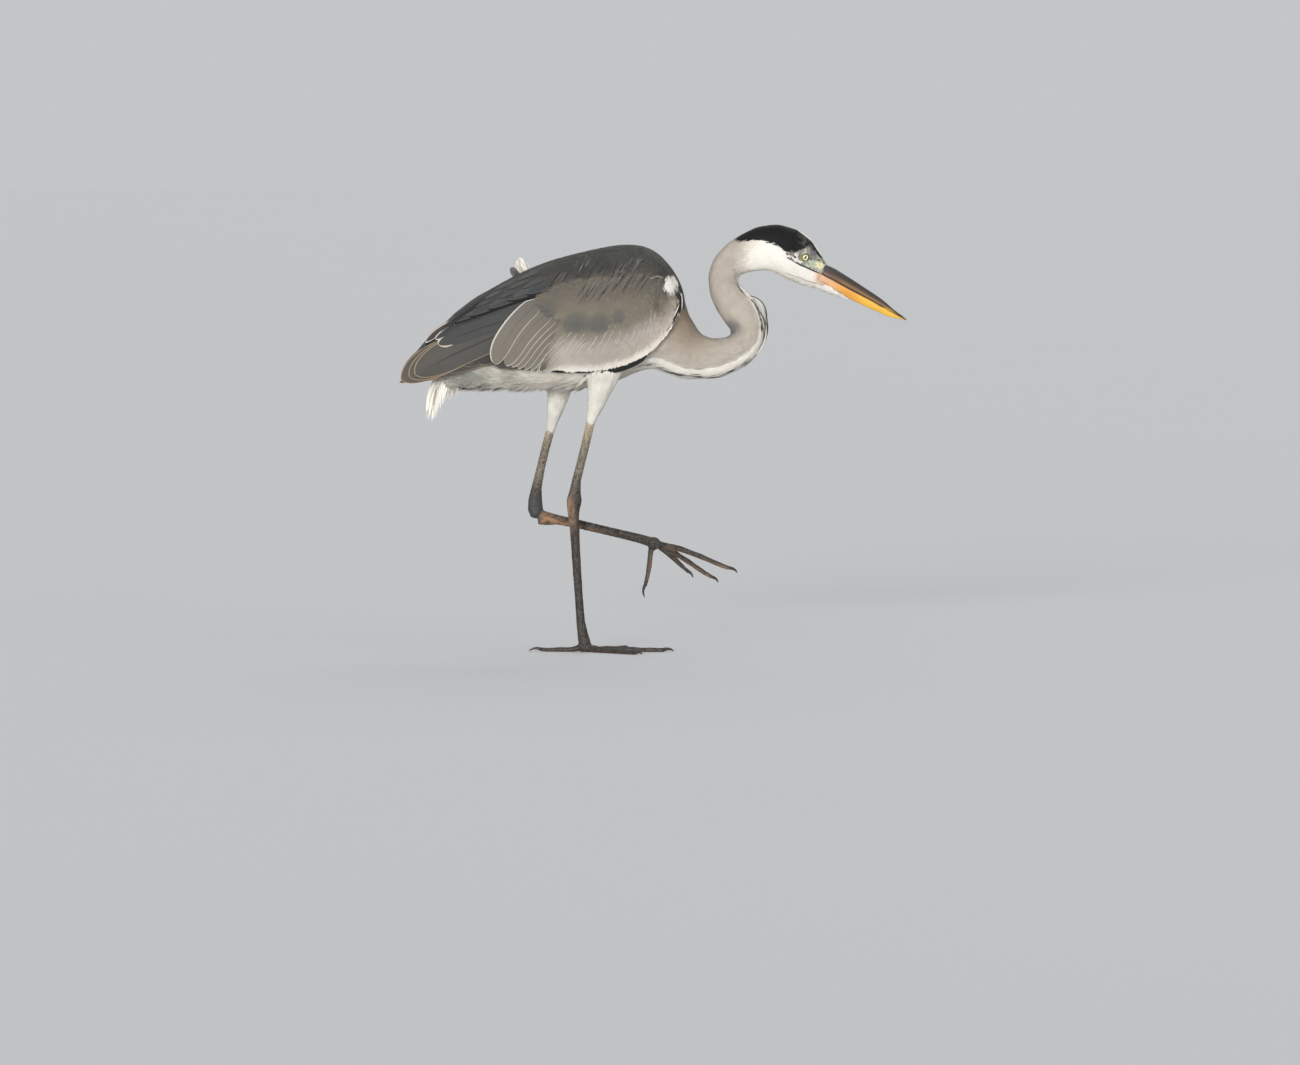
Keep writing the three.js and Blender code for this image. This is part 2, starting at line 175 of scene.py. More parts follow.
# Tails of the arrows [x, z] that say how the feathers lie, and how far each dips below straight back.
LIE = [
    (140, 500, 100), (128, 465, 92), (100, 500, 84), (96, 440, 72), (60, 510, 64), (60, 450, 60),
    (20, 500, 52), (20, 430, 50), (-30, 500, 44), (-40, 430, 42), (-80, 480, 38), (-100, 420, 34),
    (-140, 470, 32), (-200, 440, 33), (-250, 395, 24), (-30, 540, 22), (60, 565, 14), (120, 560, 40),
    (-120, 520, 27), (-180, 480, 32),
]
BELLY_LIE = [
    (180, 400, -6), (120, 420, 2), (60, 400, 16), (0, 385, 10), (-60, 378, 4), (-140, 385, 2),
    (-200, 395, 12),
]
THIGHS = {"thigh_right": (Vector((22, -35, 376)), Vector((9, -31, 325))),
          "thigh_left": (Vector((-36, 38, 374)), Vector((-49, 43, 315)))}
EYE_AT = Vector((315.5, 12.4, 564.6)) * MM
EYE_R = 7 * MM
EYE_OPEN = 4.3 * MM  # half width of the opening between the lids

NECK_NODES = ["neck_base", "neck_lower", "neck_bend", "neck_middle", "neck_upper"]
TOE_NODES = [f"toe_{t}_{s}" for t in ("middle", "inner", "outer", "hind") for s in ("right", "left")]
LEG_NODES = [f"{p}_{s}" for p in ("shin", "tarsus", "foot") for s in ("right", "left")] + TOE_NODES
FLESH = [
    "trunk", *NECK_NODES, "head", "wing_right", "wing_left", "tail", "thigh_right", "thigh_left", *LEG_NODES,
]


def sizes():
    return bpy.context.scene.heron_plumage


def arrays(group):
    """The colours of a group of settings, as arrays."""
    return SimpleNamespace(**{key: np.array(getattr(group, key)) for key in group.__annotations__})


def coats():
    return arrays(bpy.context.scene.heron_colours)


def bare():
    return arrays(bpy.context.scene.heron_skin)


def plain(tone):
    """A colour function that gives the same tone everywhere."""
    return lambda seen: np.tile(tone, (len(seen), 1))


def smooth(low, high, value):
    t = np.clip((value - low) / (high - low), 0.0, 1.0)
    return t * t * (3 - 2 * t)


def curve(points, count):
    """A smooth line through the points, as `count` places evenly spaced along it."""
    p = np.array(points, float)
    p = np.vstack([2 * p[0] - p[1], p, 2 * p[-1] - p[-2]])
    t = np.linspace(0, 1, 12, endpoint=False)[:, None]
    rows = []
    for a, b, c, d in zip(p, p[1:], p[2:], p[3:]):
        rows.append(
            0.5 * (2 * b + (c - a) * t + (2 * a - 5 * b + 4 * c - d) * t**2 + (3 * b - a - 3 * c + d) * t**3)
        )
    rows = np.vstack([*rows, p[-2]])
    walked = np.r_[0, np.cumsum(np.linalg.norm(np.diff(rows, axis=0), axis=1))]
    even = np.linspace(0, walked[-1], count)
    return np.stack([np.interp(even, walked, rows[:, i]) for i in range(rows.shape[1])], 1)


def unit(v):
    return v / np.maximum(np.linalg.norm(v, axis=-1, keepdims=True), 1e-12)


# Large numbers that scramble a cell's three coordinates and the seed.
SCRAMBLE = (73856093, 19349663, 83492791, 2654435761)
SCRAMBLE_AGAIN = 1274126177
LOW_BITS = 0xFFFF


def value_noise(places, scale, seed):
    """Smooth noise from 0 to 1 at places in metres, with lumps about `scale` metres across."""
    p = np.asarray(places) / scale
    cell = np.floor(p).astype(np.int64)
    f = p - cell
    f = f * f * (3 - 2 * f)
    total = np.zeros(len(p))
    for corner in range(8):
        o = np.array([corner & 1, corner >> 1 & 1, corner >> 2 & 1])
        c = cell + o
        h = (c[:, 0] * SCRAMBLE[0]) ^ (c[:, 1] * SCRAMBLE[1]) ^ (c[:, 2] * SCRAMBLE[2]) ^ (seed * SCRAMBLE[3])
        h = (h ^ (h >> 13)) * SCRAMBLE_AGAIN
        value = ((h ^ (h >> 16)) & LOW_BITS) / LOW_BITS
        total += value * np.prod(np.where(o, f, 1 - f), axis=1)
    return total


class Form:
    """A closed surface to lay feathers on, and the CAD part nearest to each of its points."""

    def __init__(self, places, faces):
        self.places, self.faces = places, faces
        a, b, c, d = (places[faces[:, i]] for i in range(4))
        cross = np.cross(c - a, d - b)
        self.area = np.linalg.norm(cross, axis=1) / 2
        normals = np.zeros_like(places)
        for i in range(4):
            for k in range(3):
                normals[:, k] += np.bincount(faces[:, i], cross[:, k], len(places))
        self.normals = unit(normals)
        self.corner_normals = unit(self.normals[faces].mean(1))
        self.centres = places[faces].mean(1)
        self.tree = BVHTree.FromPolygons(places.tolist(), faces.tolist())

    def nearest(self, places):
        """The nearest point of the surface to each place, with its normal."""
        found = np.empty((len(places), 3))
        index = np.empty(len(places), int)
        find = self.tree.find_nearest
        for i, p in enumerate(places.tolist()):
            spot, _, face, _ = find(p)
            found[i] = spot
            index[i] = face
        return found, self.corner_normals[index]

    def settle(self, places, rise):
        """The places laid on the surface, each as far over it as `rise` says."""
        spots, normals = self.nearest(places)
        return spots + normals * rise[:, None]


def neighbour_means(values, edges):
    """For each place, the mean of the values at the places that its edges lead to."""
    count = np.maximum(np.bincount(edges.ravel(), minlength=len(values)), 1)
    sums = [
        np.bincount(edges[:, 0], column[edges[:, 1]], len(column))
        + np.bincount(edges[:, 1], column[edges[:, 0]], len(column))
        for column in values.reshape(len(values), -1).T
    ]
    return (np.stack(sums, 1) / count[:, None]).reshape(values.shape)


def even_out(places, edges, rounds, keep):
    """Smooths places along the edges without shrinking the shape. `keep` from 0 to 1 holds a place still."""
    for _ in range(rounds):
        for push in (0.55, -0.57):
            mean = neighbour_means(places, edges)
            places = places + (mean - places) * push * (1 - keep)[:, None]
    return places


def melted(places, edges, rounds, share):
    """Places with the corners between flat stretches melted away where `share` is above zero."""
    chosen = np.flatnonzero(share > 0.01)
    number = np.full(len(places), -1)
    number[chosen] = np.arange(len(chosen))
    inner = number[edges]
    inner = inner[(inner >= 0).all(1)]
    start = places[chosen]
    soft = spread(start, inner, rounds)
    soft = soft + spread(start - soft, inner, rounds)
    made = places.copy()
    made[chosen] += (soft - start) * share[chosen, None]
    return made


def spread(values, edges, rounds):
    """Evens out the values of the places over their neighbours."""
    for _ in range(rounds):
        values = (values + neighbour_means(values, edges)) / 2
    return values


def read_mesh(mesh):
    """Places, four-cornered faces and edges of a mesh as arrays."""
    places = np.empty(len(mesh.vertices) * 3)
    mesh.vertices.foreach_get("co", places)
    corners = np.empty(len(mesh.loops), int)
    mesh.loops.foreach_get("vertex_index", corners)
    start = np.empty(len(mesh.polygons), int)
    total = np.empty(len(mesh.polygons), int)
    mesh.polygons.foreach_get("loop_start", start)
    mesh.polygons.foreach_get("loop_total", total)
    faces = corners[start[:, None] + np.minimum(np.arange(4), total[:, None] - 1)]
    edges = np.empty(len(mesh.edges) * 2, int)
    mesh.edges.foreach_get("vertices", edges)
    return places.reshape(-1, 3), faces, edges.reshape(-1, 2)


def added(name, data):
    """A new object in the scene."""
    made = bpy.data.objects.new(name, data)
    bpy.context.scene.collection.objects.link(made)
    return made


def modified(holder):
    """The mesh that an object's modifiers make; the object and its own mesh are removed."""
    made = bpy.data.meshes.new_from_object(holder.evaluated_get(bpy.context.evaluated_depsgraph_get()))
    mesh = holder.data
    bpy.data.objects.remove(holder)
    bpy.data.meshes.remove(mesh)
    return made


def mesh_of(bm, name):
    """The bmesh as a mesh; the bmesh is freed."""
    mesh = bpy.data.meshes.new(name)
    bm.to_mesh(mesh)
    bm.free()
    return mesh


def fused_nodes(names, grow, voxel):
    """One closed mesh around the CAD nodes, each grown a little so that the gaps between them close."""
    bm = bmesh.new()
    for name in names:
        bm.from_mesh(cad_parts[name].data)
    bmesh.ops.remove_doubles(bm, verts=bm.verts, dist=2e-6)
    bm.normal_update()
    for v in bm.verts:
        v.co += v.normal * grow
    holder = added("fused", mesh_of(bm, "fused"))
    remesh = holder.modifiers.new("Remesh", "REMESH")
    remesh.mode = "VOXEL"
    remesh.voxel_size = voxel
    made = modified(holder)
    found = read_mesh(made)
    bpy.data.meshes.remove(made)
    return found


@functools.cache
def node_finder():
    """Nearest CAD node to a place: a search tree of all nodes' triangles, and the node of each."""
    places, faces, owner = [], [], []
    for name in FLESH:
        p, f, _ = read_mesh(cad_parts[name].data)
        faces.append(f[:, :3] + sum(map(len, places)))
        places.append(p)
        owner += [FLESH.index(name)] * len(f)
    tree = BVHTree.FromPolygons(np.vstack(places).tolist(), np.vstack(faces).tolist())
    return tree, np.array(owner)


def nodes_at(places):
    """The number in FLESH of the CAD node nearest to each place."""
    tree, owner = node_finder()
    return owner[[tree.find_nearest(p)[2] for p in places.tolist()]]


def among(parts, *names):
    return np.isin(parts, [FLESH.index(n) for n in names])


@functools.cache
def neck_line():
    line = curve(NECK_LINE, 240)
    return line, unit(np.gradient(line, axis=0))


def neck_place(places):
    """Share of the way along the neck and head (0 breast, 1 bill) and turn round them (0 back, pi throat)."""
    line, ahead = neck_line()
    xz = np.asarray(places)[:, [0, 2]] / MM
    index = np.empty(len(xz), int)
    for start in range(0, len(xz), BATCH):
        part = xz[start : start + BATCH]
        index[start : start + BATCH] = ((part[:, None] - line[None]) ** 2).sum(2).argmin(1)
    off = xz - line[index]
    t = ahead[index]
    up = -t[:, 1] * off[:, 0] + t[:, 0] * off[:, 1]
    turn = np.arctan2(np.abs(places[:, 1]) / MM, up)
    return index / (len(line) - 1), turn


# ---- markings, shared by the skin and the coat ----


def level(points, at):
    """The second number of a line of points, where its first is `at`."""
    return np.interp(at, *np.transpose(points)[:2])


def line_distance(points, x, z):
    """Distance in the side view from each place to a line of points."""
    p = np.array(points, float)
    best = np.full(len(x), 1e9)
    q = np.stack([x, z], 1)
    for a, b in zip(p, p[1:]):
        t = np.clip(((q - a) @ (b - a)) / ((b - a) @ (b - a)), 0, 1)
        best = np.minimum(best, np.linalg.norm(q - a - t[:, None] * (b - a), axis=1))
    return best


def mix(a, b, t):
    """Colours from a, where t is 0, to b, where it is 1."""
    t = np.atleast_1d(t)[:, None]
    return np.asarray(a) * (1 - t) + np.asarray(b) * t


def wing_share(x, z):
    """How far up the folded wing a place is: 0 at its lower edge, 1 at the mantle."""
    low, high = level(WING_EDGE, x), level(MANTLE_EDGE, x)
    return (z - low) / np.maximum(high - low, 5)


def oval(x, z, middle, reach, soft=0.3):
    """1 inside an oval of the side view round `middle`, and 0 outside it."""
    out = np.hypot((x - middle[0]) / reach[0], (z - middle[1]) / reach[1])
    return smooth(1 + soft, 1 - soft, out)


def dabbed(tint, x, z, dabs):
    """Colours with soft ovals of other ones over them: middle, half sizes, softness, share and colour."""
    for middle, reach, soft, share, tone in dabs:
        tint = mix(tint, tone, oval(x, z, middle, reach, soft) * share)
    return tint


def shoulder_patch(x, z):
    """The white patch at the bend of the wing."""
    return oval(x, z, (124, 525), (10, 12), 0.12)


# Pale patches of the coverts: middle [x, z] and half sizes.
FADED_COVERTS = [((-56, 489), (15, 16)), ((-14, 468), (19, 14)), ((20, 467), (17, 14)), ((48, 477), (9, 9))]


def wing_paint(places):
    """Coverts, pale along the lower edge and brown above, with a dark rear end and a white bend."""
    x, _, z = (places / MM).T
    c = coats()
    up = wing_share(x, z) + (value_noise(places, 0.02, 3) - 0.5) * 0.14
    tint = mix(c.pale * 1.12, c.pale, smooth(0.0, 0.12, up))
    tint = mix(tint, c.covert, smooth(0.22, 0.52, up))
    tint = mix(tint, c.covert * (0.80, 0.82, 0.86), smooth(0.45, 0.80, up) * value_noise(places, 0.014, 4))
    tint = mix(tint, c.covert * (0.86, 0.87, 0.89), smooth(-30, -70, x))
    faded = c.plume * (0.98, 1.06, 1.08)
    tint = dabbed(tint, x, z, [(middle, reach, 0.25, 0.9, faded) for middle, reach in FADED_COVERTS])
    tint = mix(tint, paint(0.44, 0.41, 0.37), smooth(0.76, 0.98, up) * smooth(118, 90, x) * 0.8)
    tint = mix(tint, c.quill, smooth(-112, -128, x + (z - 450) * 0.25))
    tint = mix(tint, c.slate * 0.95, smooth(-70, -96, x) * smooth(478, 492, z))
    front = smooth(25, 6, line_distance(WING_EDGE[-5:], x, z))
    tint = mix(tint, c.pale * (1.25, 1.2, 1.1), front * 0.7)
    low = smooth(7, 0.5, np.abs(z - level(WING_EDGE, x))) * smooth(-60, -20, x)
    tint = mix(tint, c.white, low * 0.45)
    tint = mix(tint, c.quill, oval(x, z, (103, 496), (4, 9)) * 0.45)
    return mix(tint, c.white * 1.05, shoulder_patch(x, z))


def back_paint(places):
    """Slate grey, paler on top and to the front, with brown along the mantle's lower edge."""
    x, _, z = (places / MM).T
    c = coats()
    high = z - level(MANTLE_EDGE, x)
    tint = mix(c.slate * 0.88, c.slate * (1.12, 1.1, 1.06), smooth(14, 40, high))
    tint = mix(tint, c.slate * (1.3, 1.22, 1.12), smooth(60, 110, x) * value_noise(places, 0.02, 6) * 0.6)
    tint = mix(tint, c.plume, smooth(9, -4, high) * smooth(130, 100, x) * smooth(-110, -60, x))
    tint = mix(tint, c.slate * (1.02, 1.05, 1.12), smooth(-60, -120, x) * 0.7)
    mottle = value_noise(places, 0.012, 5)
    tint = tint * (0.86 + 0.28 * mottle)[:, None]
    warm = smooth(-8, 6, high) * smooth(40, 16, high + 16 * value_noise(places, 0.02, 7))
    warm = warm * smooth(-90, -10, x) * smooth(112, 84, x)
    tint = mix(tint, paint(0.42, 0.39, 0.355), warm * 0.85)
    return mix(tint, c.white * 1.05, shoulder_patch(x, z))


def trunk_paint(places):
    """The back's grey down to the mantle's edge, and shaded white below it, dark before the shoulder."""
    x, y, z = (places / MM).T
    c = coats()
    edge = level(MANTLE_EDGE, x)
    tint = back_paint(places)
    below = smooth(edge - 4, edge - 14, z)
    shade = value_noise(places, 0.018, 8) * smooth(0, -110, x)
    white = mix(c.white, c.white * (0.46, 0.48, 0.48), smooth(0.35, 0.75, shade) * 0.9)
    white = mix(white, c.white * (0.62, 0.57, 0.48), value_noise(places, 0.011, 9) * 0.6)
    white = mix(white, c.white * (0.40, 0.42, 0.40), smooth(-120, -150, x) * smooth(0.1, 0.6, shade) * 0.8)
    white = white * 0.93
    front = smooth(128, 133, x) * smooth(484, 490, z) * smooth(534, 526, z)
    dark = mix(c.slate * 0.8, c.black * 0.9, smooth(14, 24, np.abs(y)))
    white = mix(white, dark, front)
    return mix(tint, white, below)


# Where the white of the throat starts: [share of the way up the neck, turn round it from the nape].
THROAT_EDGE = [(0.0, 2.5), (0.12, 2.16), (0.20, 2.05), (0.32, 1.98), (0.42, 2.55), (0.60, 2.75)]


def neck_paint(places):
    """Grey-buff sides and a white front, a dark seam between them and a broken black row in front."""
    s, turn = neck_place(places)
    c = coats()
    grain = np.stack([s * 0.5, turn * 0.02, np.sign(places[:, 1]) * 0.01], 1)
    mottle = value_noise(places, 0.008, 11) * 0.6 + value_noise(grain, 0.0035, 12) * 0.4
    tint = mix(c.neck * 1.06, c.neck * 0.84, mottle)
    base = smooth(0.30, 0.05, s) * smooth(2.0, 0.9, turn)
    tint = mix(tint, c.neck * (0.64, 0.57, 0.48), base)
    # painted shade: a dark blue-grey patch in the notch inside the neck's bend, mostly the shade of the fold
    # and partly dark feathers there
    painted_bend_shade = oval(places[:, 0] / MM, places[:, 2] / MM, (211, 463), (13, 11), 0.6)
    tint = mix(tint, c.neck * (0.36, 0.40, 0.46), painted_bend_shade * 0.85)
    start = level(THROAT_EDGE, s)
    tint = mix(tint, c.white, smooth(-0.10, 0.08, turn - start) * smooth(0.66, 0.56, s))
    tint = mix(tint, c.white, smooth(0.63, 0.74, s + (turn - 1.4) * 0.04))
    seam = smooth(0.05, 0.02, np.abs(turn - start - 0.02)) * smooth(0.34, 0.22, s)
    tint = mix(tint, c.neck * 0.45, seam * 0.6)
    wave = 0.10 * np.sin(s * 60) + 0.12 * (value_noise(np.stack([s * 0.2, s * 0, s * 0], 1), 0.012, 16) - 0.5)
    row = smooth(0.11, 0.05, np.abs(turn - 2.70 - wave)) * smooth(0.05, 0.10, s) * smooth(0.57, 0.50, s)
    broken = smooth(0.30, 0.42, value_noise(np.stack([s * 0.10, turn * 0.012, turn * 0], 1), 0.006, 17))
    return mix(tint, c.black, row * broken)


# Patches and spots of the bare face: middle [x, z], half sizes, softness, share and colour.
FACE_DABS = [
    ((327, 573), (5, 9), 0.5, 0.8, paint(0.42, 0.39, 0.43)),
    ((325.5, 554.5), (8, 5), 0.5, 0.8, paint(0.74, 0.76, 0.67)),
    ((336, 553.5), (7, 5), 0.4, 0.9, paint(0.92, 0.89, 0.70)),
    ((323.5, 562.5), (1.7, 2.1), 0.4, 0.8, paint(0.25, 0.21, 0.17)),
    ((334.5, 560.5), (2.6, 1.5), 0.4, 0.8, paint(0.25, 0.21, 0.17)),
    ((342, 557), (1.5, 2.2), 0.4, 0.8, paint(0.25, 0.21, 0.17)),
]


def head_paint(places):
    """The neck's colours, a black crown that fades over the forehead, and the bare face before the eye."""
    x, _, z = (places / MM).T
    c = coats()
    tint = neck_paint(places)
    ragged = (value_noise(places, 0.0035, 21) - 0.5) * 4
    crown = smooth(-0.6, 0.6, z - level(CROWN_EDGE, x) + ragged) * (x > 190)
    cap = mix(c.black * 0.85, c.black * 1.2, value_noise(places, 0.006, 23))
    fore = smooth(300, 316, x) * smooth(0.40, 0.66, value_noise(places, 0.0032, 24))
    cap = mix(cap, paint(0.42, 0.42, 0.39), fore * 0.6)
    tint = mix(tint, cap, crown)
    # bare face: between the gape and the crown, from behind the eye to the bill
    above = z - level(GAPE_LINE, x)
    face = smooth(-0.3, 0.6, above) * (1 - crown) * smooth(286, 290, x) * (x < 356)
    b = bare()
    skin = mix(b.face * 1.15, b.face * 0.62, smooth(0.3, 0.7, value_noise(places, 0.0042, 27)))
    olive = smooth(314, 322, x) * smooth(0.3, 0.6, value_noise(places, 0.0034, 31))
    skin = mix(skin, paint(0.60, 0.60, 0.48), olive * 0.5)
    skin = dabbed(skin, x, z, FACE_DABS)
    skin = mix(skin, b.face * 0.2, smooth(0.66, 0.82, value_noise(places, 0.0016, 33)) * 0.7)
    speck = mix(c.white * 0.75, c.black * 2.0, smooth(0.42, 0.58, value_noise(places, 0.0022, 35)))
    skin = mix(skin, speck, smooth(308, 301, x))
    streak = smooth(2.2, 0.7, line_distance(CHEEK_MARK, x, z))
    streak = streak * smooth(0.25, 0.5, value_noise(places, 0.0025, 36))
    skin = mix(skin, c.white * 0.85, streak)
    skin = mix(skin, c.black * 1.8, smooth(3.0, 0.5, level(CROWN_EDGE, x) - z) * 0.6)
    jaw = smooth(-0.2, -1.2, above) * smooth(0, 1.5, z - level(JAW_MARK, x)) * smooth(325, 336, x)
    tint = mix(tint, b.bill_base * 1.05, jaw)
    return mix(tint, skin, face)


def leg_paint(places, parts):
    """Dark specked legs with paler upper shins, and tan at the ankles, under the folded leg and the toes."""
    x, _, z = (places / MM).T
    b = bare()
    speck = value_noise(places * (1, 1, 0.45), 0.0012, 41)
    fine = value_noise(places, 0.0011, 43)
    tint = mix(b.leg, b.leg * 0.28, smooth(0.45, 0.62, speck))
    tint = mix(tint, b.leg * (2.2, 2.1, 1.95), smooth(0.56, 0.70, fine) * 0.75)
    for side, low in {"right": 218, "left": 212}.items():
        pale = smooth(low + 4, low + 50, z) * among(parts, f"shin_{side}")
        cream = mix(b.shin, b.shin * (2.1, 1.95, 1.75), smooth(285, 325, z))
        tone = mix(cream, b.shin * 0.30, smooth(0.50, 0.66, speck) * smooth(345, 275, z))
        tint = mix(tint, mix(tone, b.shin * 1.35, smooth(0.56, 0.72, fine) * 0.6), pale)
    # the back of the standing ankle and the underside of the folded one are tan
    ankle = smooth(40, 8, np.abs(z - 203)) * smooth(-7, -20, x) * among(parts, "tarsus_right", "shin_right")
    streak = smooth(0.35, 0.62, value_noise(places * (1, 1, 0.25), 0.0018, 45))
    tint = mix(tint, b.sole, ankle * (0.25 + 0.65 * streak))
    axis = 190 - (x + 64) * 0.19
    folded = among(parts, "tarsus_left")
    under = smooth(5, -3, z - axis) * smooth(60, -30, x) * 0.8 + smooth(-20, -56, x) * 0.8
    stripe = smooth(0.30, 0.55, value_noise(places * (0.12, 1, 1), 0.0017, 47))
    tint = mix(tint, b.sole * (1.05, 1.0, 0.85), np.clip(under, 0, 1) * (0.15 + 0.8 * stripe) * folded)
    # the far leg's lower shin and the ankle end of its folded tarsus are dark blue-grey: partly their own
    # dark colour, partly painted shade on the far leg
    dark = smooth(236, 206, z) * among(parts, "shin_left") + folded * smooth(-60, -66, x)
    tint = mix(tint, paint(0.25, 0.25, 0.27), np.clip(dark, 0, 1) * 0.8)
    for name in TOE_NODES:
        mine = among(parts, name)
        if name.endswith("left") and mine.any():
            middle, way = limb_axis(name)
            off = places[mine] - middle
            off = off - (off @ way)[:, None] * way
            low = smooth(0.8 * MM, -2.4 * MM, off @ unit(np.array((-0.3, 0, 1.0))))
            patchy = 0.35 + 0.55 * value_noise(places[mine], 0.003, 49)
            tint[mine] = mix(tint[mine], b.sole, low * patchy)
    return mix(tint, b.sole, smooth(2.5, 0.5, z) * 0.3)


def markings(places, parts):
    """The bird's own colour at each place on the given CAD parts, for the skin and every feather."""
    tint = np.tile(coats().white, (len(places), 1))
    jobs = [
        (("trunk",), trunk_paint), (("wing_right", "wing_left"), wing_paint),
        (tuple(NECK_NODES), neck_paint), (("head",), head_paint),
    ]
    for names, job in jobs:
        chosen = among(parts, *names)
        if chosen.any():
            tint[chosen] = job(places[chosen])
    chosen = among(parts, "tail")
    tint[chosen] = coats().quill
    chosen = among(parts, *LEG_NODES)
    if chosen.any():
        tint[chosen] = leg_paint(places[chosen], parts[chosen])
    chosen = among(parts, "thigh_left", "thigh_right")
    shade = value_noise(places[chosen], 0.01, 51)
    tint[chosen] = mix(coats().white * 0.93, coats().white * (0.70, 0.70, 0.69), shade)
    return np.clip(tint, 0.0, 1.0)


# ---- the coat's own surface and the skin under it ----

VOXEL = 1.75 * MM


@functools.cache
def coat_form():
    """The outside of the feathered bird as one smooth closed surface."""
    places, faces, edges = fused_nodes(FLESH, 0.35 * MM, VOXEL)
    parts = nodes_at(places)
    thin = spread(among(parts, *LEG_NODES).astype(float), edges, 4)
    places = even_out(places, edges, 16, thin * 0.1)
    places = even_out(places, edges, 34, np.clip(thin * 1.6, 0, 1))
    x, _, z = (places / MM).T
    slim = among(parts, *NECK_NODES, "head") * smooth(308, 288, x)
    body = among(parts, "trunk", "wing_right", "wing_left", "neck_base")
    body = body * smooth(462, 486, z) * smooth(-196, -170, x)
    face = among(parts, "head") * smooth(316, 328, x)
    places = melted(places, edges, 120, spread(slim, edges, 6))
    places = melted(places, edges, 16, spread(face, edges, 4))
    places = melted(places, edges, 320, spread(body, edges, 6))
    form = Form(places, faces)
    form.edges, form.parts = edges, parts
    return form


THIGH_DEPTH = 2.2 * MM
FACE_DEPTH = 0.3 * MM  # the bare face has no coat, only this step down from the feathers round it
COAT_SHARE = 0.33  # most of a thin part's thickness that the coat may take from one side


def coat_depths(form):
    """How far the skin lies under the outside at each place."""
    depth = np.full(len(form.places), sizes().body_depth)
    for names, deep in (
        (("wing_right", "wing_left", "tail"), sizes().wing_depth),
        (("thigh_right", "thigh_left"), THIGH_DEPTH),
        (NECK_NODES, sizes().neck_depth),
        (("head",), sizes().head_depth),
        (LEG_NODES, 0.0),
    ):
        depth[among(form.parts, *names)] = deep
    x, y, z = (form.places / MM).T
    face = among(form.parts, "head") & (z > level(GAPE_LINE, x)) & (z < level(CROWN_EDGE, x))
    depth[face & (x > 287)] = FACE_DEPTH
    # where the feathers part at the front of the back the skin comes up under them
    parting = smooth(80, 96, x) * smooth(34, 24, np.abs(y)) * smooth(515, 530, z)
    depth *= 1 - 0.75 * parting * among(form.parts, "trunk")
    cast = form.tree.ray_cast
    for i in np.flatnonzero(depth > 1 * MM):
        inward = Vector(-form.normals[i])
        start = Vector(form.places[i]) + inward * 1e-4
        hit = cast(start, inward, 0.03)
        if hit[0] is not None:
            depth[i] = min(depth[i], hit[3] * COAT_SHARE)
    return spread(depth, form.edges, 12)


def joined_mesh(name, places, faces):
    """A mesh from arrays of places and four-cornered faces."""
    mesh = bpy.data.meshes.new(name)
    mesh.vertices.add(len(places))
    mesh.vertices.foreach_set("co", np.asarray(places, np.float32).ravel())
    mesh.loops.add(faces.size)
    mesh.loops.foreach_set("vertex_index", faces.ravel().astype(np.int32))
    mesh.polygons.add(len(faces))
    mesh.polygons.foreach_set("loop_start", np.arange(0, faces.size, 4, dtype=np.int32))
    mesh.update(calc_edges=True)
    return mesh


def set_tint(mesh, tint):
    attribute = mesh.attributes.new("tint", "FLOAT_COLOR", "POINT")
    rgba = np.ones((len(mesh.vertices), 4), np.float32)
    rgba[:, :3] = tint
    attribute.data.foreach_set("color", rgba.ravel())


def set_map(mesh, name, uv):
    """A UV map from one place per vertex."""
    corners = np.empty(len(mesh.loops), np.int32)
    mesh.loops.foreach_get("vertex_index", corners)
    layer = mesh.uv_layers.new(name=name)
    layer.uv.foreach_set("vector", np.asarray(uv, np.float32)[corners].ravel())


def put(name, mesh, material, replaces=()):
    """The finished mesh as a piece of the bird."""
    mesh.polygons.foreach_set("use_smooth", np.ones(len(mesh.polygons), bool))
    piece = added(name, mesh)
    mesh.materials.append(material)
    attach(piece, "root")
    if replaces:
        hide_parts(*replaces)
    return piece


# ---- charts: an unwrap of the skin's shape for each region ----

# Long axis of the body as [x, z], and where the chart of the body starts and how long it is, in millimetres.
BODY_AXIS = [(-266, 392), (-200, 425), (-120, 450), (0, 475), (100, 490), (150, 490)]
BODY_END, BODY_LONG = -275, 430


def body_chart(places, parts=None):
    """Unrolls the trunk and wings round their long axis."""
    x, y, z = (places / MM).T
    turn = np.arctan2(y, z - level(BODY_AXIS, x))
    return np.stack([0.02 + 0.96 * (x - BODY_END) / BODY_LONG, 0.5 + 0.48 * turn / math.pi], 1)


def neck_chart(places, parts=None):
    """Unrolls the neck and head round their middle line."""
    s, turn = neck_place(places)
    return np.stack([0.02 + 0.96 * s, 0.5 + 0.48 * np.sign(places[:, 1]) * turn / math.pi], 1)


def limb_chart(places, parts):
    """Unrolls each thigh, shin, tarsus, foot and toe round its own length, each in a cell of its own."""
    names = ["thigh_right", "thigh_left", *LEG_NODES]
    out = np.zeros((len(places), 2))
    for k, name in enumerate(names):
        mine = among(parts, name)
        if not mine.any():
            continue
        middle, way = limb_axis(name)
        off = places[mine] - middle
        along = off @ way
        side = unit(np.cross(way, (0.31, 0.2, 0.93)))
        turn = np.arctan2(off @ side, off @ np.cross(way, side))
        run = (along - along.min()) / max(np.ptp(along), 1e-6)
        cell = np.array([k % 4, k // 4]) * 0.25
        out[mine] = cell + 0.015 + 0.22 * np.stack([(turn / math.pi + 1) / 2, run], 1)
    return out


# ---- laying feathers ----


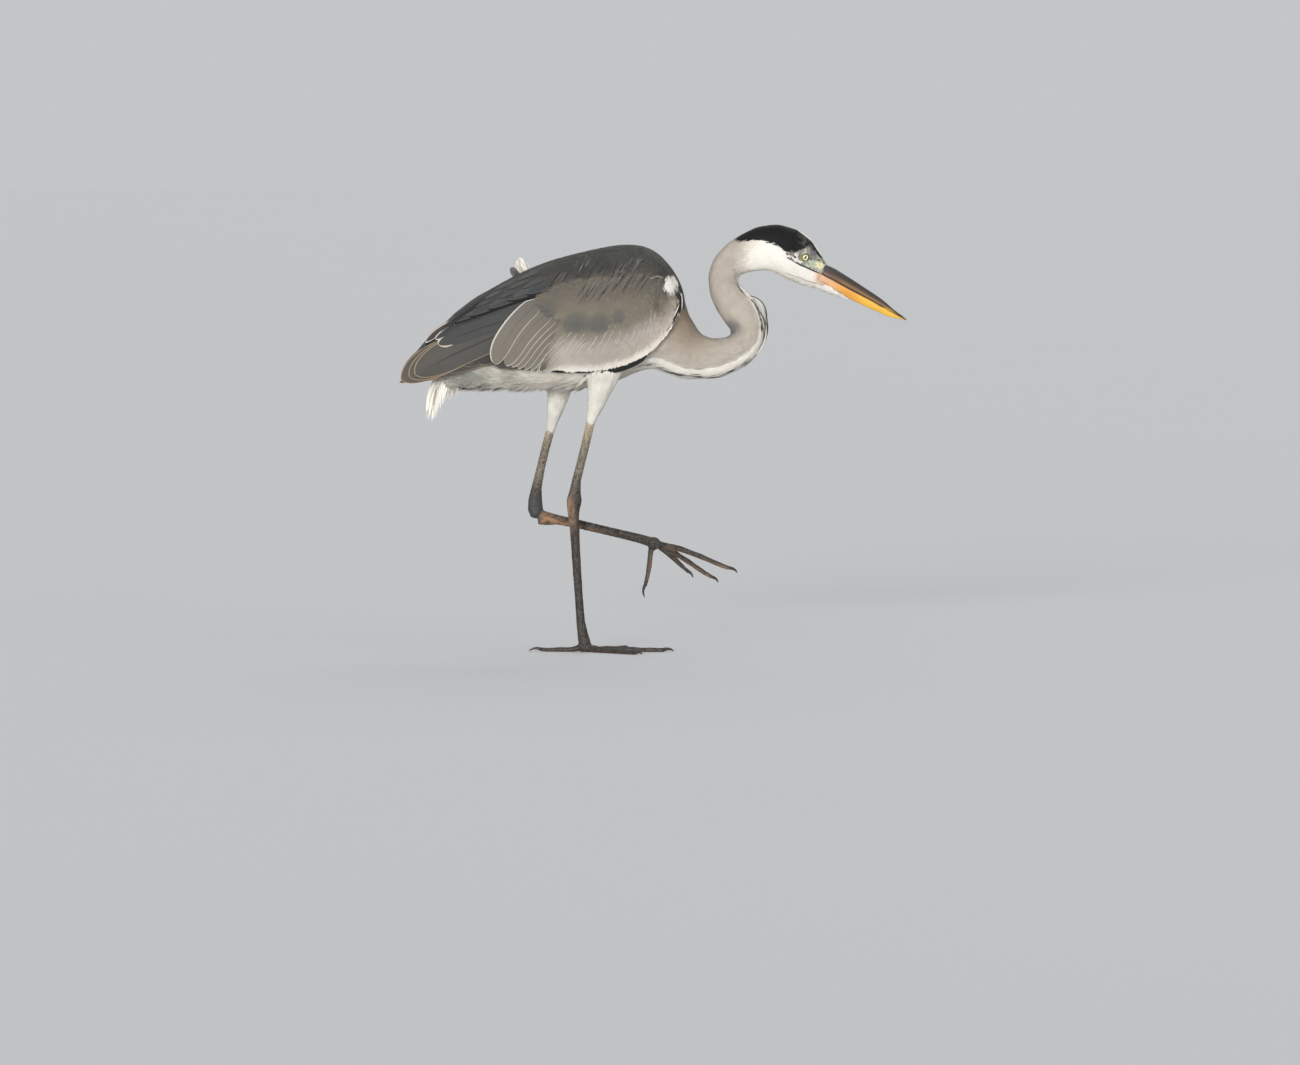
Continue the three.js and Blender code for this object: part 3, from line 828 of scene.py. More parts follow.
class Blade:
    """The outline of one feather or lock, made flat: across from -1 to 1, along from 0 at the root to 1."""

    def __init__(self, across, along, outline, strands=((0.0, 0.0, 1.0, 1.0),), front=1.0, ease=1.0):
        us, sides, vs, faces = [], [], [], []
        for at_root, at_tip, broad, long in strands:
            bm = bmesh.new()
            bmesh.ops.create_grid(bm, x_segments=across, y_segments=along, size=0.5)
            start = sum(map(len, us))
            u = np.array([v.co.x * 2 for v in bm.verts])
            v = 1 - np.clip(0.5 - np.array([v.co.y for v in bm.verts]), 0, 1) ** ease
            us.append(at_root + (at_tip - at_root) * v + u * outline(v) * broad * np.where(u > 0, front, 1))
            sides.append(u)
            vs.append(v * long)
            faces.append(np.array([[c.index + start for c in reversed(f.verts)] for f in bm.faces]))
            bm.free()
        self.u, self.v, self.side = np.concatenate(us), np.concatenate(vs), np.concatenate(sides)
        self.faces = np.vstack(faces)


def pointed(v):
    return np.maximum(0.06, np.minimum(1, (v / 0.3 + 0.35)) * (1 - v**2.2))


def rounded(v):
    return np.maximum(0.10, np.minimum(1, v / 0.28 + 0.30) * np.sqrt(np.maximum(1 - v**4.5, 0)))


def lance(v):
    return np.maximum(0.05, np.sin(np.pi * np.clip(v * 0.82 + 0.18, 0, 1)) ** 0.85)


def quill(v):
    taper = np.clip(1 - (np.maximum(v - 0.72, 0) / 0.28) ** 2, 0, 1) ** 0.55
    return np.maximum(0.05, np.minimum(1, v / 0.22 + 0.22) * taper)


def round_tip(v):
    taper = np.sqrt(1 - np.clip((v - 0.6) / 0.4, 0, 1) ** 2)
    return np.maximum(0.05, np.minimum(1, v / 0.25 + 0.3) * taper)


LOCK = ((-0.35, -0.8, 0.42, 0.88), (0.0, 0.05, 0.46, 1.0), (0.35, 0.85, 0.42, 0.8))


@functools.cache
def blades():
    return {
        "lock": Blade(1, 3, pointed, LOCK),
        "point": Blade(2, 3, pointed),
        "soft": Blade(2, 5, round_tip, ease=1.5),
        "plume": Blade(2, 8, lance),
        "covert": Blade(4, 9, round_tip, ease=1.7),
        "long": Blade(6, 16, quill, front=0.8, ease=1.5),
        "scale": Blade(2, 2, rounded),
        "scute": Blade(6, 2, rounded),
    }


def scatter(form, wanted, spacing, seed, keep=0.72):
    """Roots spread evenly over the wanted faces, about `spacing` apart, as places, normals and faces."""
    rng = np.random.default_rng(seed)
    gap = np.broadcast_to(np.asarray(spacing, float), (len(form.faces),))
    weight = np.where(wanted, form.area / gap**2, 0)
    count = int(weight.sum() * 2.6)
    chosen = rng.choice(len(weight), count, p=weight / weight.sum())
    a, b, c, d = (form.places[form.faces[chosen, i]] for i in range(4))
    s, t = rng.random((2, count, 1))
    spots = (a * (1 - s) + b * s) * (1 - t) + (d * (1 - s) + c * s) * t
    reach = gap[chosen] * keep
    cell = reach.max()
    keys = np.floor(spots / cell).astype(int).tolist()
    around = [(i, j, k) for i in (-1, 0, 1) for j in (-1, 0, 1) for k in (-1, 0, 1)]
    grid, kept = {}, []
    for i, (p, (kx, ky, kz), r) in enumerate(zip(spots.tolist(), keys, (reach**2).tolist())):
        near = (q for dx, dy, dz in around for q in grid.get((kx + dx, ky + dy, kz + dz), ()))
        if not any((p[0] - q[0]) ** 2 + (p[1] - q[1]) ** 2 + (p[2] - q[2]) ** 2 < r for q in near):
            grid.setdefault((kx, ky, kz), []).append(p)
            kept.append(i)
    return spots[kept], form.corner_normals[chosen[kept]], chosen[kept]


@functools.cache
def limb_axis(name):
    """Middle of a shin, tarsus, foot or toe, and the way it runs down or out from the body."""
    places, _, _ = read_mesh(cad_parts[name].data)
    middle = places.mean(0)
    way = np.linalg.svd(places - middle, full_matrices=False)[2][0]
    if name.startswith("toe"):
        foot = read_mesh(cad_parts[f"foot_{name.rsplit('_', 1)[1]}"].data)[0].mean(0)
        out = middle - foot
    else:
        out = np.array((1.0, 0, 0)) if name == "tarsus_left" else np.array((0, 0, -1.0))
    return middle, way * np.sign(way @ out)


def dip_at(x, z, arrows=LIE):
    """How far feathers dip below straight back at places of the side view, in radians."""
    p = np.array(arrows, float)
    w = 1 / (((np.stack([x, z], 1)[:, None] - p[None, :, :2]) ** 2).sum(2) + 40) ** 1.3
    return np.radians((w * p[:, 2]).sum(1) / w.sum(1))


def lie_at(places, normals, parts):
    """The way the feathers point at each place, along the surface."""
    x, _, z = (places / MM).T
    line, ahead = neck_line()
    s, _ = neck_place(places)
    on_neck = among(parts, *NECK_NODES, "head")
    step = ahead[np.clip((s * (len(line) - 1)).astype(int), 0, len(line) - 1)]
    neck_way = np.stack([-step[:, 0], step[:, 0] * 0, -step[:, 1]], 1)

    def field(arrows):
        dip = dip_at(x, z, arrows)
        return np.stack([-np.cos(dip), np.zeros(len(dip)), -np.sin(dip)], 1)

    belly = field(BELLY_LIE)
    is_belly = among(parts, "trunk", "tail") & (z < level(WING_EDGE, x) + 18)
    body_way = np.where(is_belly[:, None], belly, field(LIE))
    blend = smooth(0.20, 0.10, s)[:, None]
    way = np.where(on_neck[:, None], neck_way * (1 - blend) + belly * blend, body_way)
    for name, (high, low_end) in THIGHS.items():
        way[among(parts, name)] = np.array((low_end - high).normalized())
    for name in LEG_NODES:
        mine = among(parts, name)
        if mine.any():
            way[mine] = limb_axis(name)[1]
    way = way - normals * (way * normals).sum(1, keepdims=True)
    return unit(way)


def trace(form, roots, normals, parts, size, turn, steps=4):
    """Middle lines of feathers that run along a form from their roots, with the form's normals."""
    way = lie_at(roots, normals, parts)
    way = unit(way + np.cross(normals, way) * turn)
    line, ups = [roots], [normals]
    place, up = roots, normals
    for _ in range(steps):
        place, up = form.nearest(place + way * (size / steps)[:, None])
        field = lie_at(place, up, parts)
        field = unit(field + np.cross(up, field) * turn)
        way = unit(way - up * (way * up).sum(1, keepdims=True)) * 0.6 + field * 0.4
        way = unit(way)
        line.append(place)
        ups.append(up)
    return np.stack(line, 1), unit(np.stack(ups, 1))


# Feathers that lie exactly where their table puts them.
STILL = {"loose": 0.0, "tilt": 0.0}
FLAT = {**STILL, "camber": 0.0}


def each(count, *values):
    """Every value as one number for each of `count` feathers."""
    return (np.broadcast_to(np.asarray(value, float), (count,)) for value in values)


def grow(
    blade, line, ups, width, depth, lift, rng, tint, bake,
    camber=0.06, tilt=0.03, loose=0.12, shade=0.05, settle=None,
):
    """Feathers along middle lines: each starts `depth` under its line at the root and ends `lift` over it.

    `tint` is one colour per feather, or one for its root half and one for its tip. `camber` bends the sides
    down, and `tilt`, `loose` and `shade` are how much feathers differ in turn, depth and tone.
    """
    blade = blades()[blade]
    count, steps = len(line), line.shape[1] - 1
    width, depth, lift = each(count, width, depth, lift)
    ahead = unit(np.gradient(line, axis=1))
    across = unit(np.cross(ups, ahead))
    v = np.clip(blade.v, 0, 1) * steps
    low = np.minimum(v.astype(int), steps - 1)
    f = (v - low)[None, :, None]

    def along(rows):
        return rows[:, low] * (1 - f) + rows[:, low + 1] * f

    mid, up, side = along(line), unit(along(ups)), unit(along(across))
    rise = -depth[:, None] * (1 - blade.v) ** 1.3 + lift[:, None] * blade.v**1.5
    rise = rise + rng.uniform(-loose, loose, (count, 1)) * depth[:, None]
    rise = rise - camber * np.abs(width[:, None]) * blade.u**2
    rise = rise + rng.normal(0, 1, (count, 1)) * tilt * width[:, None] * blade.u
    places = mid + side * (blade.u * width[:, None])[..., None]
    if settle is None:
        places = places + up * rise[..., None]
    else:
        places = settle(places.reshape(-1, 3), rise.ravel()).reshape(places.shape)
    tint = np.asarray(tint)
    ends = tint[:, None].repeat(2, 1) if tint.ndim == 2 else tint
    tint = ends[:, :1] * (1 - blade.v[None, :, None]) + ends[:, 1:] * blade.v[None, :, None]
    tint = tint * rng.uniform(1 - shade, 1 + shade, count)[:, None, None]
    spot = np.stack([blade.side * 0.5, blade.v - 0.5], 1)[None] * BAKE_PATCH
    own = np.broadcast_to(np.stack([blade.side * 0.5 + 0.5, blade.v], 1)[None], (count, len(blade.u), 2))
    faces = blade.faces if width[0] > 0 else blade.faces[:, ::-1]
    return {
        "places": places.reshape(-1, 3),
        "faces": (faces[None] + (np.arange(count) * len(blade.u))[:, None, None]).reshape(-1, 4),
        "tint": tint.reshape(-1, 3),
        "bake": (bake[:, None] + spot).reshape(-1, 2),
        "vane": own.reshape(-1, 2),
    }


def lay(
    form, blade, wanted, spacing, size, width, depth, lift, seed,
    sway=0.1, chart=body_chart, hue=markings, **more,
):
    """Scatters feathers over the wanted faces of a form, each in the colour of one place under it.

    `size` may be a function of the roots, and `sway` is how far the feathers turn aside of each other.
    """
    rng = np.random.default_rng(seed)
    roots, ups, faces = scatter(form, wanted, spacing, seed)
    parts = form.parts[form.faces[faces, 0]]
    size = (size(roots) if callable(size) else size) * rng.uniform(0.86, 1.14, len(roots))
    width = width * rng.uniform(0.9, 1.1, len(roots))
    turn = rng.normal(0, sway, len(roots))[:, None]
    line, ups = trace(form, roots, ups, parts, size, turn)
    tint = hue(line[:, 3] + rng.normal(0, TINT_JOLT, roots.shape), parts)
    return grow(blade, line, ups, width, depth, lift, rng, tint, chart(roots, parts), **more)


def feather_piece(name, layers, material, replaces=()):
    """One piece from several layers of feathers."""
    start, faces = 0, []
    for p in layers:
        faces.append(p["faces"] + start)
        start += len(p["places"])
    joined = {k: np.concatenate([p[k] for p in layers]) for k in ("places", "tint", "bake", "vane")}
    mesh = joined_mesh(name, joined["places"], np.concatenate(faces))
    set_map(mesh, "OFBake", np.clip(joined["bake"], 0.001, 0.999))
    set_map(mesh, "Vane", joined["vane"])
    set_tint(mesh, np.clip(joined["tint"], 0, 1))
    return put(name, mesh, material, replaces)


class WingSide:
    """The outside of one folded wing as a height over the side view, run out past its edges."""

    STEP = 3.0  # millimetres between its columns and rows
    X_RANGE = (-300, 176)
    Z_RANGE = (350, 606)
    SMOOTHINGS = 60
    LAST_SMOOTHINGS = 8  # those at the end, which smooth the known heights too

    def __init__(self, side):
        self.side = side
        self.xs = np.arange(*self.X_RANGE, self.STEP)
        self.zs = np.arange(*self.Z_RANGE, self.STEP)
        form = coat_form()
        wing = "wing_left" if side > 0 else "wing_right"
        height = np.full((len(self.xs), len(self.zs)), np.nan)
        for i, x in enumerate(self.xs):
            low, high = level(WING_EDGE, x), level(MANTLE_EDGE, x)
            for j, z in enumerate(self.zs):
                hit, _, face, _ = form.tree.ray_cast((x * MM, side * 0.2, z * MM), (0, -side, 0), 0.2)
                if hit is None or hit.y * side < 2 * MM:
                    continue
                part = FLESH[form.parts[form.faces[face, 0]]]
                if (part == wing and z > low + 4) or (part == "trunk" and z > high):
                    height[i, j] = hit.y * side / MM
        known = ~np.isnan(height)
        reach = np.where(known, height, np.nanmin(height))
        near = known.copy()
        while not near.all():
            total = np.zeros_like(reach)
            count = np.zeros_like(reach)
            for axis in (0, 1):
                for shift in (-1, 1):
                    total += np.roll(np.where(near, reach, 0), shift, axis)
                    count += np.roll(near, shift, axis)
            fresh = ~near & (count > 0)
            reach[fresh] = total[fresh] / count[fresh]
            near |= fresh
        for turn in range(self.SMOOTHINGS):
            padded = np.pad(reach, 1, mode="edge")
            mean = (padded[:-2, 1:-1] + padded[2:, 1:-1] + padded[1:-1, :-2] + padded[1:-1, 2:]) / 4
            reach = np.where(known & (turn < self.SMOOTHINGS - self.LAST_SMOOTHINGS), reach, mean)
        self.reach = reach

    def height(self, x, z):
        """Distance of the wing's outside from the middle plane, in millimetres."""
        i = np.clip((x - self.xs[0]) / self.STEP, 0, len(self.xs) - 1.001)
        j = np.clip((z - self.zs[0]) / self.STEP, 0, len(self.zs) - 1.001)
        a, b = i.astype(int), j.astype(int)
        f, g = i - a, j - b
        r = self.reach
        return (
            r[a, b] * (1 - f) * (1 - g) + r[a + 1, b] * f * (1 - g) + r[a, b + 1] * (1 - f) * g
            + r[a + 1, b + 1] * f * g
        )

    def place(self, x, z, rise=0.0):
        return np.stack([x, self.side * (self.height(x, z) + rise), z], -1) * MM

    def normal(self, x, z):
        e = self.STEP
        sx = (self.height(x + e, z) - self.height(x - e, z)) / (2 * e)
        sz = (self.height(x, z + e) - self.height(x, z - e)) / (2 * e)
        return unit(np.stack([-sx, np.full_like(sx, self.side), -sz], -1))

    def settle(self, places, rise):
        x, _, z = (places / MM).T
        up = self.normal(x, z)
        return self.place(x, z) + up * rise[:, None]

    def feathers(self, blade, roots, tips, bow, width, under, over, seed, hue=wing_paint, rims=(), **more):
        """Layers of feathers from roots to tips in the side view.

        `bow` bends each one up by that share of its length. Each of `rims` is the colour of an edge, how far
        it shows along the lower side, how far past the tip and, unless it starts at the root, the share of
        the length where it starts.
        """
        jolt = 0.5 if self.side < 0 else 1.3
        rng = np.random.default_rng(seed + (self.side > 0) * 500)
        roots, tips = (np.array(q, float) for q in (roots, tips))
        roots, tips = roots + rng.normal(0, jolt, roots.shape), tips + rng.normal(0, jolt, tips.shape)
        count = len(roots)
        bow, width, under, over = each(count, bow, width, under, over)

        def layer(aside, past, drop, colour_of, first=0.0):
            t = np.linspace(first, 1, POINTS)[None, :, None]
            span = tips - roots
            square = np.stack([-span[:, 1], span[:, 0]], 1) * np.where(span[:, :1] < 0, -1, 1)
            line = roots[:, None] + span[:, None] * t + square[:, None] * bow[:, None, None] * 4 * t * (1 - t)
            line = line - unit(square)[:, None] * aside * np.minimum(t * 3, 1)
            line = line + unit(span)[:, None] * past * t
            x, z = line[..., 0], line[..., 1]
            places = self.place(x, z)
            tint = np.stack([colour_of(places[:, k]) for k in (3, POINTS - 1)], 1)
            return grow(
                blade, places, self.normal(x, z), width * -self.side * MM, under * MM, (over - drop) * MM,
                np.random.default_rng(seed + 7), tint, body_chart(places[:, 3]), settle=self.settle, **more,
            )

        made = [layer(0, 0, 0, hue)]
        for depth, (tone, aside, past, *first) in enumerate(rims, 1):
            edge = layer(aside, past, 0.12 * depth, lambda seen: mix(hue(seen), tone, 0.85), *first)
            edge["places"] -= np.array((0, self.side, 0)) * 0.1 * depth * MM
            made.append(edge)
        return made

    def listed(self, blade, rows, bow, seed, deep=None, under=None, **more):
        """Feathers from a table. Their roots lie `under` the wing, or `deep` below their own tips."""
        table = np.array(rows, float)
        over = table[:, 5]
        return self.feathers(blade, table[:, :2], table[:, 2:4], bow, table[:, 4],
                             deep - over if under is None else under, over, SEED + seed, **more)


@functools.cache
def wing_side(side):
    return WingSide(side)


# ---- materials ----


class Mixer:
    """A material's nodes, wired one after the other."""

    def __init__(self, name):
        self.material = bpy.data.materials.new(name)
        self.material.use_nodes = True
        self.tree = self.material.node_tree

    def node(self, kind, **settings):
        made = self.tree.nodes.new(f"ShaderNode{kind}")
        for key, value in settings.items():
            setattr(made, key, value)
        return made

    def feed(self, sockets, *values):
        """Gives each socket a number, a colour or the output of another node."""
        for socket, value in zip(sockets, values):
            if isinstance(value, bpy.types.NodeSocket):
                self.tree.links.new(value, socket)
            else:
                socket.default_value = (*value, 1.0) if socket.type == "RGBA" else value

    def math(self, operation, a, b=0.0, c=0.0):
        made = self.node("Math", operation=operation)
        self.feed(made.inputs, a, b, c)
        return made.outputs[0]

    def blend(self, factor, a, b, how="MIX"):
        made = self.node("Mix", data_type="RGBA", blend_type=how)
        self.feed((made.inputs[0], made.inputs[6], made.inputs[7]), factor, a, b)
        return made.outputs[2]

    def toned(self, tint, factors):
        """The tint with each of its three channels multiplied."""
        return self.blend(1.0, tint, factors, "MULTIPLY")

    def cover(self, base, over, mask, share):
        """The base with a share of another colour over it where the mask is 1."""
        return self.blend(self.math("MULTIPLY", mask, share), base, over)

    def step(self, value, low, high, out_low=0.0, out_high=1.0):
        made = self.node("MapRange", interpolation_type="SMOOTHSTEP")
        self.feed(made.inputs, value, low, high, out_low, out_high)
        return made.outputs[0]

    def tint(self):
        """The markings, which every mesh holds at its vertices."""
        return self.node("Attribute", attribute_name="tint").outputs["Color"]

    def place(self, name=None):
        """The place on a named map or, without a name, in the bird."""
        if name is None:
            return self.node("TexCoord").outputs["Object"]
        return self.node("UVMap", uv_map=name).outputs[0]

    def stretched(self, vector, scale, turn=(0.0, 0.0, 0.0)):
        made = self.node("Mapping")
        self.feed((made.inputs["Vector"], made.inputs["Scale"], made.inputs["Rotation"]), vector, scale, turn)
        return made.outputs[0]

    def noise(self, scale, detail=3.0, roughness=0.55, vector=None):
        made = self.node("TexNoise")
        sockets = [made.inputs[name] for name in ("Scale", "Detail", "Roughness", "Vector")]
        self.feed(sockets, scale, detail, roughness, vector or self.place())
        return made.outputs["Fac"]

    def finish(self, bump=None, **inputs):
        """The material, with a bump (height, depth, strength) and the shader's inputs by their names."""
        shader = self.tree.nodes["Principled BSDF"].inputs
        for name, value in inputs.items():
            self.feed((shader[name.replace("_", " ")],), value)
        if bump:
            made = self.node("Bump")
            self.feed([made.inputs[name] for name in ("Height", "Distance", "Strength")], *bump)
            self.feed((shader["Normal"],), made.outputs[0])
        return self.material


@functools.cache
def plumage_material(name, barbs, slant, shaft, depth):
    """Feather vanes: fine barbs slanting from a shaft, and soft mottling."""
    m = Mixer(name)
    split = m.node("SeparateXYZ")
    m.feed(split.inputs, m.place("Vane"))
    edge = m.math("MULTIPLY", m.math("ABSOLUTE", m.math("SUBTRACT", split.outputs[0], 0.5)), 2.0)
    along = split.outputs[1]
    phase = m.math("MULTIPLY_ADD", along, barbs, m.math("MULTIPLY", edge, -slant))
    phase = m.math("ADD", phase, m.math("MULTIPLY", m.noise(420.0, 2.0), 1.6))
    barb = m.math("MULTIPLY_ADD", m.math("SINE", m.math("MULTIPLY", phase, 2 * math.pi)), 0.5, 0.5)
    tint = m.tint()
    dark = m.toned(tint, (0.74, 0.735, 0.73))
    base = m.cover(tint, dark, barb, 0.26)
    base = m.cover(base, dark, m.step(m.noise(95.0, 4.0), 0.35, 0.70), 0.22)
    # painted shade: darker towards the root, where each feather lies under the ones that overlap it
    base = m.blend(m.step(along, 0.6, 0.15, 0.0, 0.25), base, m.toned(tint, (0.75, 0.75, 0.76)))
    quill = m.math("MULTIPLY", m.step(edge, 0.10, 0.03), m.step(along, 0.96, 0.7))
    base = m.cover(base, m.toned(tint, (0.42, 0.40, 0.38)), quill, shaft)
    height = m.math("ADD", barb, m.math("MULTIPLY", quill, 1.5 * shaft))
    return m.finish((height, depth, 0.6), Base_Color=base, Roughness=m.step(barb, 0.0, 1.0, 0.58, 0.74),
                    Specular_IOR_Level=0.2, Sheen_Weight=0.06, Sheen_Roughness=0.6)


def vane_finish():
    return plumage_material("Feather_vanes", 34.0, 9.0, 0.30, 0.00006)


def down_finish():
    return plumage_material("Soft_down", 4.0, 5.0, 0.0, 0.00005)


def quill_finish():
    return plumage_material("Flight_vanes", 60.0, 12.0, 0.7, 0.00008)


def skin_finish():
    """Skin with the coat's markings, pores and fine folds."""
    m = Mixer("Skin")
    tint = m.tint()
    mottle = m.step(m.noise(900.0, 4.0), 0.35, 0.68)
    base = m.cover(tint, m.toned(tint, (0.62, 0.60, 0.57)), mottle, 0.30)
    lengthwise = m.stretched(m.place(), (0.35, 1.0, 1.0), (0.0, math.radians(-30), 0.0))
    fold = m.math("ABSOLUTE", m.math("SUBTRACT", m.noise(700.0, 2.0, 0.5, lengthwise), 0.5))
    crease = m.step(fold, 0.035, 0.0)
    # the fine folds are darkened: painted shade in the creases
    base = m.cover(base, m.toned(tint, (0.45, 0.43, 0.40)), crease, 0.10)
    height = m.math("SUBTRACT", mottle, m.math("MULTIPLY", crease, 0.4))
    return m.finish((height, 0.00018, 0.7), Base_Color=base, Roughness=m.step(mottle, 0.0, 1.0, 0.5, 0.68),
                    Specular_IOR_Level=0.4)


def scale_finish():
    """Horny scales of the legs and toes."""
    m = Mixer("Leg_scales")
    tint = m.tint()
    worn = m.step(m.noise(900.0, 3.0), 0.38, 0.66)
    base = m.cover(tint, m.toned(tint, (0.55, 0.52, 0.48)), worn, 0.55)
    return m.finish((worn, 0.0001, 0.5), Base_Color=base, Roughness=m.step(worn, 0.0, 1.0, 0.42, 0.62))


@functools.cache
def horn_finish(name, roughness):
    """Horn of the bill and claws: long fine growth streaks and small chips."""
    m = Mixer(name)
    tint = m.tint()
    streak = m.step(m.noise(1.0, 5.0, 0.6, m.stretched(m.place("Horn"), (5.0, 46.0, 1.0))), 0.34, 0.70)
    base = m.cover(tint, m.toned(tint, (0.60, 0.55, 0.50)), streak, 0.5)
    chip = m.step(m.noise(520.0, 3.0), 0.60, 0.74)
    base = m.cover(base, m.toned(tint, (1.35, 1.28, 1.2)), chip, 0.35)
    height = m.math("ADD", streak, m.math("MULTIPLY", chip, 0.6))
    rough = m.step(streak, 0.0, 1.0, roughness - 0.06, roughness + 0.12)
    return m.finish((height, 0.00014, 0.6), Base_Color=base, Roughness=rough, Specular_IOR_Level=0.5)


def eye_finish():
    """Wet eye: black pupil, pale yellow iris with fine rays, dark rim."""
    m = Mixer("Eye")
    split = m.node("SeparateXYZ")
    m.feed(split.inputs, m.place("Iris"))
    out = split.outputs[0]
    fine = m.step(m.noise(1.0, 3.0, 0.6, m.stretched(m.place("Iris"), (3.0, 60.0, 1.0))), 0.35, 0.65)
    iris = bare().iris
    ring = m.blend(m.math("MULTIPLY", fine, 0.5), iris, iris * (0.80, 0.66, 0.35))
    ring = m.blend(m.step(out, 0.58, 0.72), ring, iris * (0.62, 0.50, 0.25))
    body = m.blend(m.step(out, 0.70, 0.76), ring, paint(0.30, 0.27, 0.22))
    base = m.blend(m.step(out, 0.325, 0.295), body, (0.004, 0.004, 0.004))
    return m.finish((fine, 0.00003, 0.3), Base_Color=base, Roughness=0.12,
                    Coat_Weight=1.0, Coat_Roughness=0.02)


def floor_finish():
    m = Mixer("Studio_floor")
    tone = np.array(bpy.context.scene.heron_stage.floor)
    return m.finish(Base_Color=m.cover(tone, tone * 0.8, m.noise(0.8, 2.0), 0.05), Roughness=0.85)


# ---- the pieces ----


COVERED_SKIN_KEPT = 0.56  # share of the skin's faces that stay under the thick coat


class HERON_OT_skin(bpy.types.Operator):
    """One skin over trunk, neck, head, wings, tail and legs, under the coat, with lids and gape"""

    bl_idname = "heron.skin"
    bl_label = "Skin"

    def execute(self, context):
        form = coat_form()
        depth = coat_depths(form)
        places = form.places - form.normals * depth[:, None]
        rough = smooth(0.5 * MM, 2 * MM, depth)
        places = even_out(places, form.edges, 6, 1 - rough)
        # it stops short of the tail's end and of its underside there, so that the quills cover it
        x, _, z = (places / MM).T
        places[:, 0] += 14 * MM * smooth(-230, -266, x)
        places[:, 2] += 7 * MM * smooth(-218, -244, x) * smooth(398, 384, z)
        mesh = joined_mesh("skin", places, form.faces)
        bm = bmesh.new()
        bm.from_mesh(mesh)
        lids = [Vector((EYE_AT.x, side * 17 * MM, EYE_AT.z)) for side in (-1, 1)]
        near = [e for e in bm.edges if min((e.verts[0].co - lid).length for lid in lids) < 16 * MM]
        bmesh.ops.subdivide_edges(bm, edges=near, cuts=2, use_grid_fill=True, smooth=0.0)
        bmesh.ops.triangulate(bm, faces=[f for f in bm.faces if len(f.verts) > 4])
        for v in bm.verts:
            v.co = shaped_lid(v.co)
            v.co.z = max(v.co.z, 0.0)
        bm.to_mesh(mesh)
        bm.free()
        mesh = thinned(mesh, COVERED_SKIN_KEPT)
        places, _, _ = read_mesh(mesh)
        set_tint(mesh, lid_paint(places, markings(places, nodes_at(places))))
        put("skin", mesh, skin_finish(), FLESH)
        return {"FINISHED"}


def thinned(mesh, share):
    """The mesh with fewer faces under the thick coat; head, legs and toes keep theirs."""
    places, _, _ = read_mesh(mesh)
    parts = nodes_at(places)
    holder = added(mesh.name, mesh)
    group = holder.vertex_groups.new(name="under_coat")
    covered = ~among(parts, "head", *LEG_NODES)
    group.add(np.flatnonzero(covered).tolist(), 1.0, "REPLACE")
    fewer = holder.modifiers.new("Fewer", "DECIMATE")
    fewer.ratio, fewer.vertex_group = share, group.name
    made = modified(holder)
    made.name = "skin"
    return made


def eye_offset(x, z):
    """Distance from the middle of the eye in millimetres, measured as the long way of its oval opening."""
    dx, dz = x - EYE_AT.x / MM, z - EYE_AT.z / MM
    along, over = dx * 0.88 + dz * 0.47, dz * 0.88 - dx * 0.47
    return np.hypot(along, over * 1.2)


def shaped_lid(place):
    """Presses the skin in behind the eye and raises the lids round it."""
    side = 1 if place.y > 0 else -1
    out = float(eye_offset(place.x / MM, place.z / MM))
    if abs(place.y) < 5 * MM or out > 13:
        return place
    open_r, r, middle = EYE_OPEN / MM, EYE_R / MM, EYE_AT.y / MM
    ball = middle + math.sqrt(max(r * r - min(out, r * 0.98) ** 2, 0))
    y = abs(place.y) / MM
    rim = middle + math.sqrt(r * r - open_r * open_r) + 0.9
    if out < open_r - 0.5:
        target = ball - 1.6
    elif out < open_r + 0.15:
        target = (ball - 1.6) + (rim - ball + 1.6) * smooth(open_r - 0.5, open_r + 0.15, out)
    else:
        target = rim - 0.5 * (out - open_r)
        target = target + (y - target) * smooth(open_r + 0.6, 11.5, out)
        target -= 0.45 * math.exp(-(((out - open_r - 2.6) / 0.55) ** 2))
    return Vector((place.x, side * target * MM, place.z))


def lid_paint(places, tint):
    """The given colours with an olive lid and its dark edge round each eye."""
    x, y, z = (places / MM).T
    out = eye_offset(x, z)
    lid = smooth(8.2, 6.6, out) * (np.abs(y) > 5)
    edge = smooth(6.0, 5.4, out) * (np.abs(y) > 5)
    tint = mix(tint, paint(0.58, 0.60, 0.36), lid * smooth(0, -4, x - EYE_AT.x / MM) * 0.8)
    return mix(tint, paint(0.16, 0.15, 0.13), edge * 0.9)


class HERON_OT_eyes(bpy.types.Operator):
    """Both eyes, each a ball with a glossy clear coat"""

    bl_idname = "heron.eyes"
    bl_label = "Eyes"

    def execute(self, context):
        bm = bmesh.new()
        for side in (-1, 1):
            turned = Matrix.Translation((EYE_AT.x, side * EYE_AT.y, EYE_AT.z)) @ Matrix.Rotation(
                -side * math.pi / 2, 4, "X"
            )
            bmesh.ops.create_uvsphere(bm, u_segments=48, v_segments=32, radius=EYE_R * 0.985, matrix=turned)
        mesh = mesh_of(bm, "eyes")
        places, _, _ = read_mesh(mesh)
        off = places - np.array(EYE_AT) * np.where(places[:, 1:2] > 0, 1, (1, -1, 1))
        long, short = off[:, 0] * 0.47 + off[:, 2] * 0.88, off[:, 0] * 0.88 - off[:, 2] * 0.47
        out = np.hypot(short * 1.34, long * 0.82) / EYE_R
        turn = np.arctan2(off[:, 2], off[:, 0])
        set_map(mesh, "Iris", np.stack([out, turn / (2 * math.pi) + 0.5], 1))
        put("eyes", mesh, eye_finish(), ("eye_right", "eye_left"))
        return {"FINISHED"}


